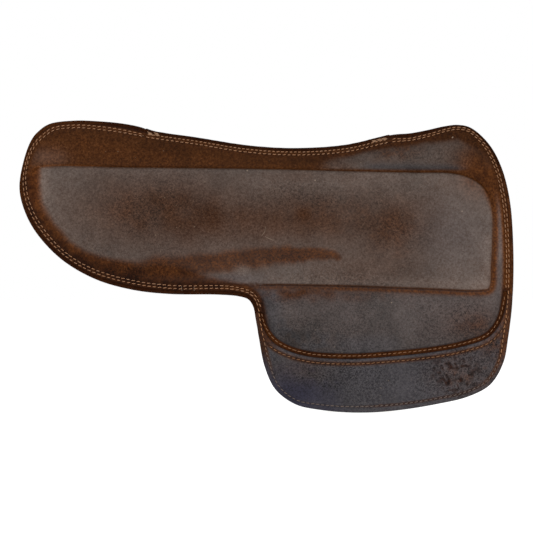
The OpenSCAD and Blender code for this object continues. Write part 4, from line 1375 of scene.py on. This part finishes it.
def build_side(side):
    pre = "off" if side < 0 else "near"
    body = pre + "_side"
    cover = shell(pre + "_cover", "cover", face_u, lambda q, f: height(q, f, sim_at(q)) - 2.05, side, masks=masks_cover, tone=tone_and_painted_light_cover, pits=pits_cover)
    dress(cover, "cover")
    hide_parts(pre + "_leather", pre + "_top_leather")
    flex(cover)
    tuck = lambda f: 0.6 * (sstep(BAND0 + 16, BAND0 + 2, f["s"]) + sstep(BAND1 - 16, BAND1 - 2, f["s"]))
    band = shell(pre + "_flap_skin", "band", lambda q, f: height(q, f, sim_at(q)) - tuck(f),
                 lambda q, f: np.maximum(height(q, f, sim_at(q)) - 2.0 - tuck(f), U_LIN + 0.1), side,
                 masks=masks_flap, lip=0.22, tone=tone_flap, pits=pits_flap)
    dress(band, "flap")
    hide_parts(pre + "_flap_band")
    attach(band, body)
    lin_ = shell(pre + "_wool_lining", "lining", lambda q, f: np.full(len(q), U_LIN), inner_u, side, cell=2.6, lip=0.3)
    dress(lin_, "lining")
    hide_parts(pre + "_lining", pre + "_top_lining")
    flex(lin_)
    core = shell(pre + "_felt_layer", "core", core_top, lambda q, f: np.full(len(q), U_LIN + 0.12), side, cell=5.0)
    dress(core, "core")
    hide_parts(pre + "_felt_core", pre + "_top_felt")
    flex(core)
    foam = shell(pre + "_insert", "insert", lambda q, f: height(q, f, sim_at(q)) - 2.2,
                 lambda q, f: core_top(q, f) + 0.05, side, cell=5.0)
    dress(foam, "foam")
    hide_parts(pre + "_foam_insert")
    flex(foam)
    ff = shell(pre + "_flap_layer", "flap", lambda q, f: np.maximum(height(q, f, sim_at(q)) - 2.2, U_LIN + 0.5),
               lambda q, f: np.full(len(q), U_LIN + 0.12), side, cell=5.0)
    dress(ff, "core")
    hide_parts(pre + "_flap_felt")
    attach(ff, body)
    # welt in the flap seam
    ss = np.linspace(13.0, SEAM.length - 13.0, 230)
    ds = np.array([-6.0, -4.6, -3.4, -2.4, -1.4, -0.6, 0.2, 1.0, 1.8, 2.8, 3.8, 5.0, 6.4])
    q, top = seam_strip(ss, ds)
    low = np.dstack([q, np.maximum(top - 1.1, U_LIN + 0.4)])
    top = np.maximum(top, U_LIN + 0.9)
    welt = ribbon(pre + "_seam_welt", q, top, low, side, masks=masks_welt)
    dress(welt, "edge")
    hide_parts(pre + "_flap_welt")
    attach(welt, body)
    # bound edges: behind and in front of the sewn spine
    rear = binding(pre + "_edge_rear", BAND1 - 6, PER + SEW0 + 2, side)
    front = binding(pre + "_edge_front", SEW1 - 2, BAND0 + 6, side)
    for o in (rear, front):
        dress(o, "edge")
        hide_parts(pre + "_edge_binding", pre + "_lobe_binding")
        flex(o)
    # thread
    L, R, S = 5.5, 0.52, 0.11 if side < 0 else -0.11
    a1, b1 = row(row_a, BAND1 + 1.5, PER + SEW0 - 4, 7.35), row(row_b, BAND1 - 1, PER + SEW0 - 2, 7.35)
    a2, b2 = row(row_a, SEW1 + 4, BAND0 - 1.5, 7.2), row(row_b, SEW1 + 3, BAND0 - 1, 7.2)
    cat = lambda u, v: (np.vstack([u[0], v[0]]), np.vstack([u[1], v[1]]))
    o = stitches(pre + "_thread_outer", both_faces(*cat(a1, a2), L, R, S), side)
    dress(o, "thread")
    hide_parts(pre + "_stitch_outer", pre + "_lobe_stitch")
    flex(o)
    o = stitches(pre + "_thread_inner", both_faces(*cat(b1, b2), L, R, S), side)
    dress(o, "thread")
    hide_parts(pre + "_stitch_inner", pre + "_top_stitch")
    flex(o)
    sa, sb = row(row_a, SEW0 + 2, SEW1 - 2, 6.1), row(row_b, SEW0 + 1, SEW1 - 1, 7.0)
    items = [(*sa, outer_face, 4.6, 0.56, S), (*sb, outer_face, 5.1, 0.56, S),
             (*sb, lining_face, 5.1, 0.55, -S)]
    o = stitches(pre + "_thread_spine", items, side)
    dress(o, "thread")
    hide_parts("spine_stitch_" + pre)
    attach(o, "spine")
    o = stitches(pre + "_thread_seam", both_faces(*seam_row(0.2, 17.0, SEAM.length - 25.0, 7.1), L, R * 0.88, S, seam_face), side)
    dress(o, "seamrow")
    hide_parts(pre + "_stitch_seam")
    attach(o, body)
    o = stitches(pre + "_thread_band", both_faces(*seam_row(11.5, 60.0, SEAM.length - 50.0, 7.1), L, R * 0.88, S), side)
    dress(o, "seamrow")
    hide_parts(pre + "_stitch_band")
    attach(o, body)
    o = stitches(pre + "_thread_hem", both_faces(*row(row_a, BAND0 - 0.5, BAND1 + 0.5, 6.95), L, R * 0.95, S), side, shade=hem_shade)
    dress(o, "hem")
    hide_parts(pre + "_stitch_hem")
    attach(o, body)


def spine_welt():
    s = np.linspace(SEW0 - 2, SEW1 + 2, int((SEW1 - SEW0) / 1.8))
    p, t, n = RIM.at(s)
    lipd = np.clip(row_a(s) - 1.6, 1.6, 2.9)
    h = face_u(p + n * lipd[:, None])
    sw = 0.15 * vnoise(p, 8, 71)
    outer = [(lipd, h + 0.1), (lipd - 0.25, h + 0.55), (lipd - 0.9, h + 0.72 + sw), (0.9, h * 0.98 + 0.3 + sw),
             (-0.1, h * 0.84 + sw), (-0.85 - sw, h * 0.58), (-1.25 - sw, h * 0.28), (-1.15, 0 * h)]
    inner = [(lipd, h - 0.7), (lipd - 0.25, h - 0.65), (lipd - 0.5, h - 0.7), (1.6, h - 0.9), (1.2, h * 0.66),
             (0.7, h * 0.45), (0.4, h * 0.22), (0.35, 0 * h)]
    full = lambda path: [(a, -b) for a, b in path] + [(a, b) for a, b in path[-2::-1]]
    grid = lambda path: (np.array([np.broadcast_to(a, s.shape) for a, _ in path]).T,
                         np.array([np.broadcast_to(b, s.shape) for _, b in path]).T)
    (do, yo), (di, yi) = grid(full(outer)), grid(full(inner))
    xz = p[:, None, :] + n[:, None, :] * do[..., None]
    low = np.dstack([p[:, None, :] + n[:, None, :] * di[..., None], yi])
    o = ribbon("spine_roll", xz, yo, low, -1, both=True, masks=masks_edge)
    dress(o, "edge")
    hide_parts("spine_welt")
    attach(o, "spine")


def roll_face(q):
    d, s = RIM.near(q)
    return face_u(q) + 0.35 + 0.75 * sstep(np.clip(row_a(s) - 1.6, 1.6, 2.9) + 0.6, 1.4, d)


def tacks():
    """back-tacked ends of the sewn spine: long stitches laid close together on both sides"""
    objs = []
    for side in (-1, 1):
        items = []
        for s0, s1, n in ((SEW0 + 1, SEW0 + 19, 2), (SEW1 - 24, SEW1 - 2, 3)):
            for k, off in enumerate((-3.1, -1.75, -0.4) if n == 2 else (-2.5, -1.1)):
                c = s0 + (np.arange(n) + 0.5 + 0.14 * (k - 1)) * (s1 - s0) / n
                p, t, nn = RIM.at(c)
                d = row_a(c) + off
                items.append((p + nn * d[:, None], t, roll_face, 7.6, 0.62, 0.05 * (k - 1)))
        objs.append(stitches("tack_" + ("off" if side < 0 else "near"), items, side))
    for o in objs:
        dress(o, "tack")
        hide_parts("seam_end_tacks")
        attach(o, "spine")


for _side in (-1, 1):
    build_side(_side)
spine_welt()
tacks()

# ---------------------------------------------------------------- floor, light, camera
floor = make_mesh("floor", [(-20, -20, 0), (20, -20, 0), (20, 20, 0), (-20, 20, 0)], [(0, 1, 2, 3)], smooth=False)
fm = Tree("floor_pale")
fn = fm.noise(fm.node("ShaderNodeNewGeometry").outputs["Position"], 3, 2)
fcol = fm.mix(fn, (0.95, 0.95, 0.95, 1), (0.97, 0.97, 0.97, 1))
fd = fm.node("ShaderNodeBsdfDiffuse", None, Color=fcol)
fe = fm.node("ShaderNodeEmission", None, Color=(1, 1, 1, 1), Strength=1.62)
fx = fm.node("ShaderNodeMixShader", None, Fac=0.55)
fm.t.links.new(fd.outputs[0], fx.inputs[1])
fm.t.links.new(fe.outputs[0], fx.inputs[2])
fm.t.links.new(fx.outputs[0], fm.out.inputs["Surface"])
floor.data.materials.append(fm.mat)


def area(name, loc, target, size, power, size_y=None):
    l = bpy.data.lights.new(name, "AREA")
    l.energy, l.size = power, size
    if size_y:
        l.shape, l.size_y = "RECTANGLE", size_y
    o = bpy.data.objects.new(name, l)
    o.location = loc
    o.rotation_euler = (Vector(target) - Vector(loc)).to_track_quat("-Z", "Y").to_euler()
    bpy.context.scene.collection.objects.link(o)
    return o


TOP = Vector((0, 0, 0.21))
area("key_off", (-0.9, -2.6, 2.3), TOP, 1.8, 42, 1.2)
area("fill_off", (1.8, -2.4, 1.1), TOP, 1.6, 12)
area("key_near", (0.9, 2.6, 2.3), TOP, 1.8, 42, 1.2)
area("fill_near", (-1.8, 2.4, 1.1), TOP, 1.6, 12)

scene = bpy.context.scene
scene.view_settings.view_transform = "Standard"
scene.view_settings.look = "None"
world = bpy.data.worlds.new("studio")
scene.world = world
world.use_nodes = True
wt = world.node_tree
wt.nodes.clear()
wo = wt.nodes.new("ShaderNodeOutputWorld")
b1, b2, wm = wt.nodes.new("ShaderNodeBackground"), wt.nodes.new("ShaderNodeBackground"), wt.nodes.new("ShaderNodeMixShader")
lp = wt.nodes.new("ShaderNodeLightPath")
b1.inputs[0].default_value, b1.inputs[1].default_value = (1, 1, 1, 1), 0.34
b2.inputs[0].default_value, b2.inputs[1].default_value = (1, 1, 1, 1), 1.0
wt.links.new(lp.outputs["Is Camera Ray"], wm.inputs[0])
wt.links.new(b1.outputs[0], wm.inputs[1])
wt.links.new(b2.outputs[0], wm.inputs[2])
wt.links.new(wm.outputs[0], wo.inputs[0])

cam_data = bpy.data.cameras.new("camera")
cam_data.sensor_width = 36
cam = bpy.data.objects.new("camera", cam_data)
scene.collection.objects.link(cam)
DIST = 6.0
cam_data.lens = 36 * DIST / 0.7569
cam.location = (0.0004, -DIST, 0.2066)
cam.rotation_euler = (math.pi / 2, 0, 0)
cam_data.clip_end = 100
scene.camera = cam
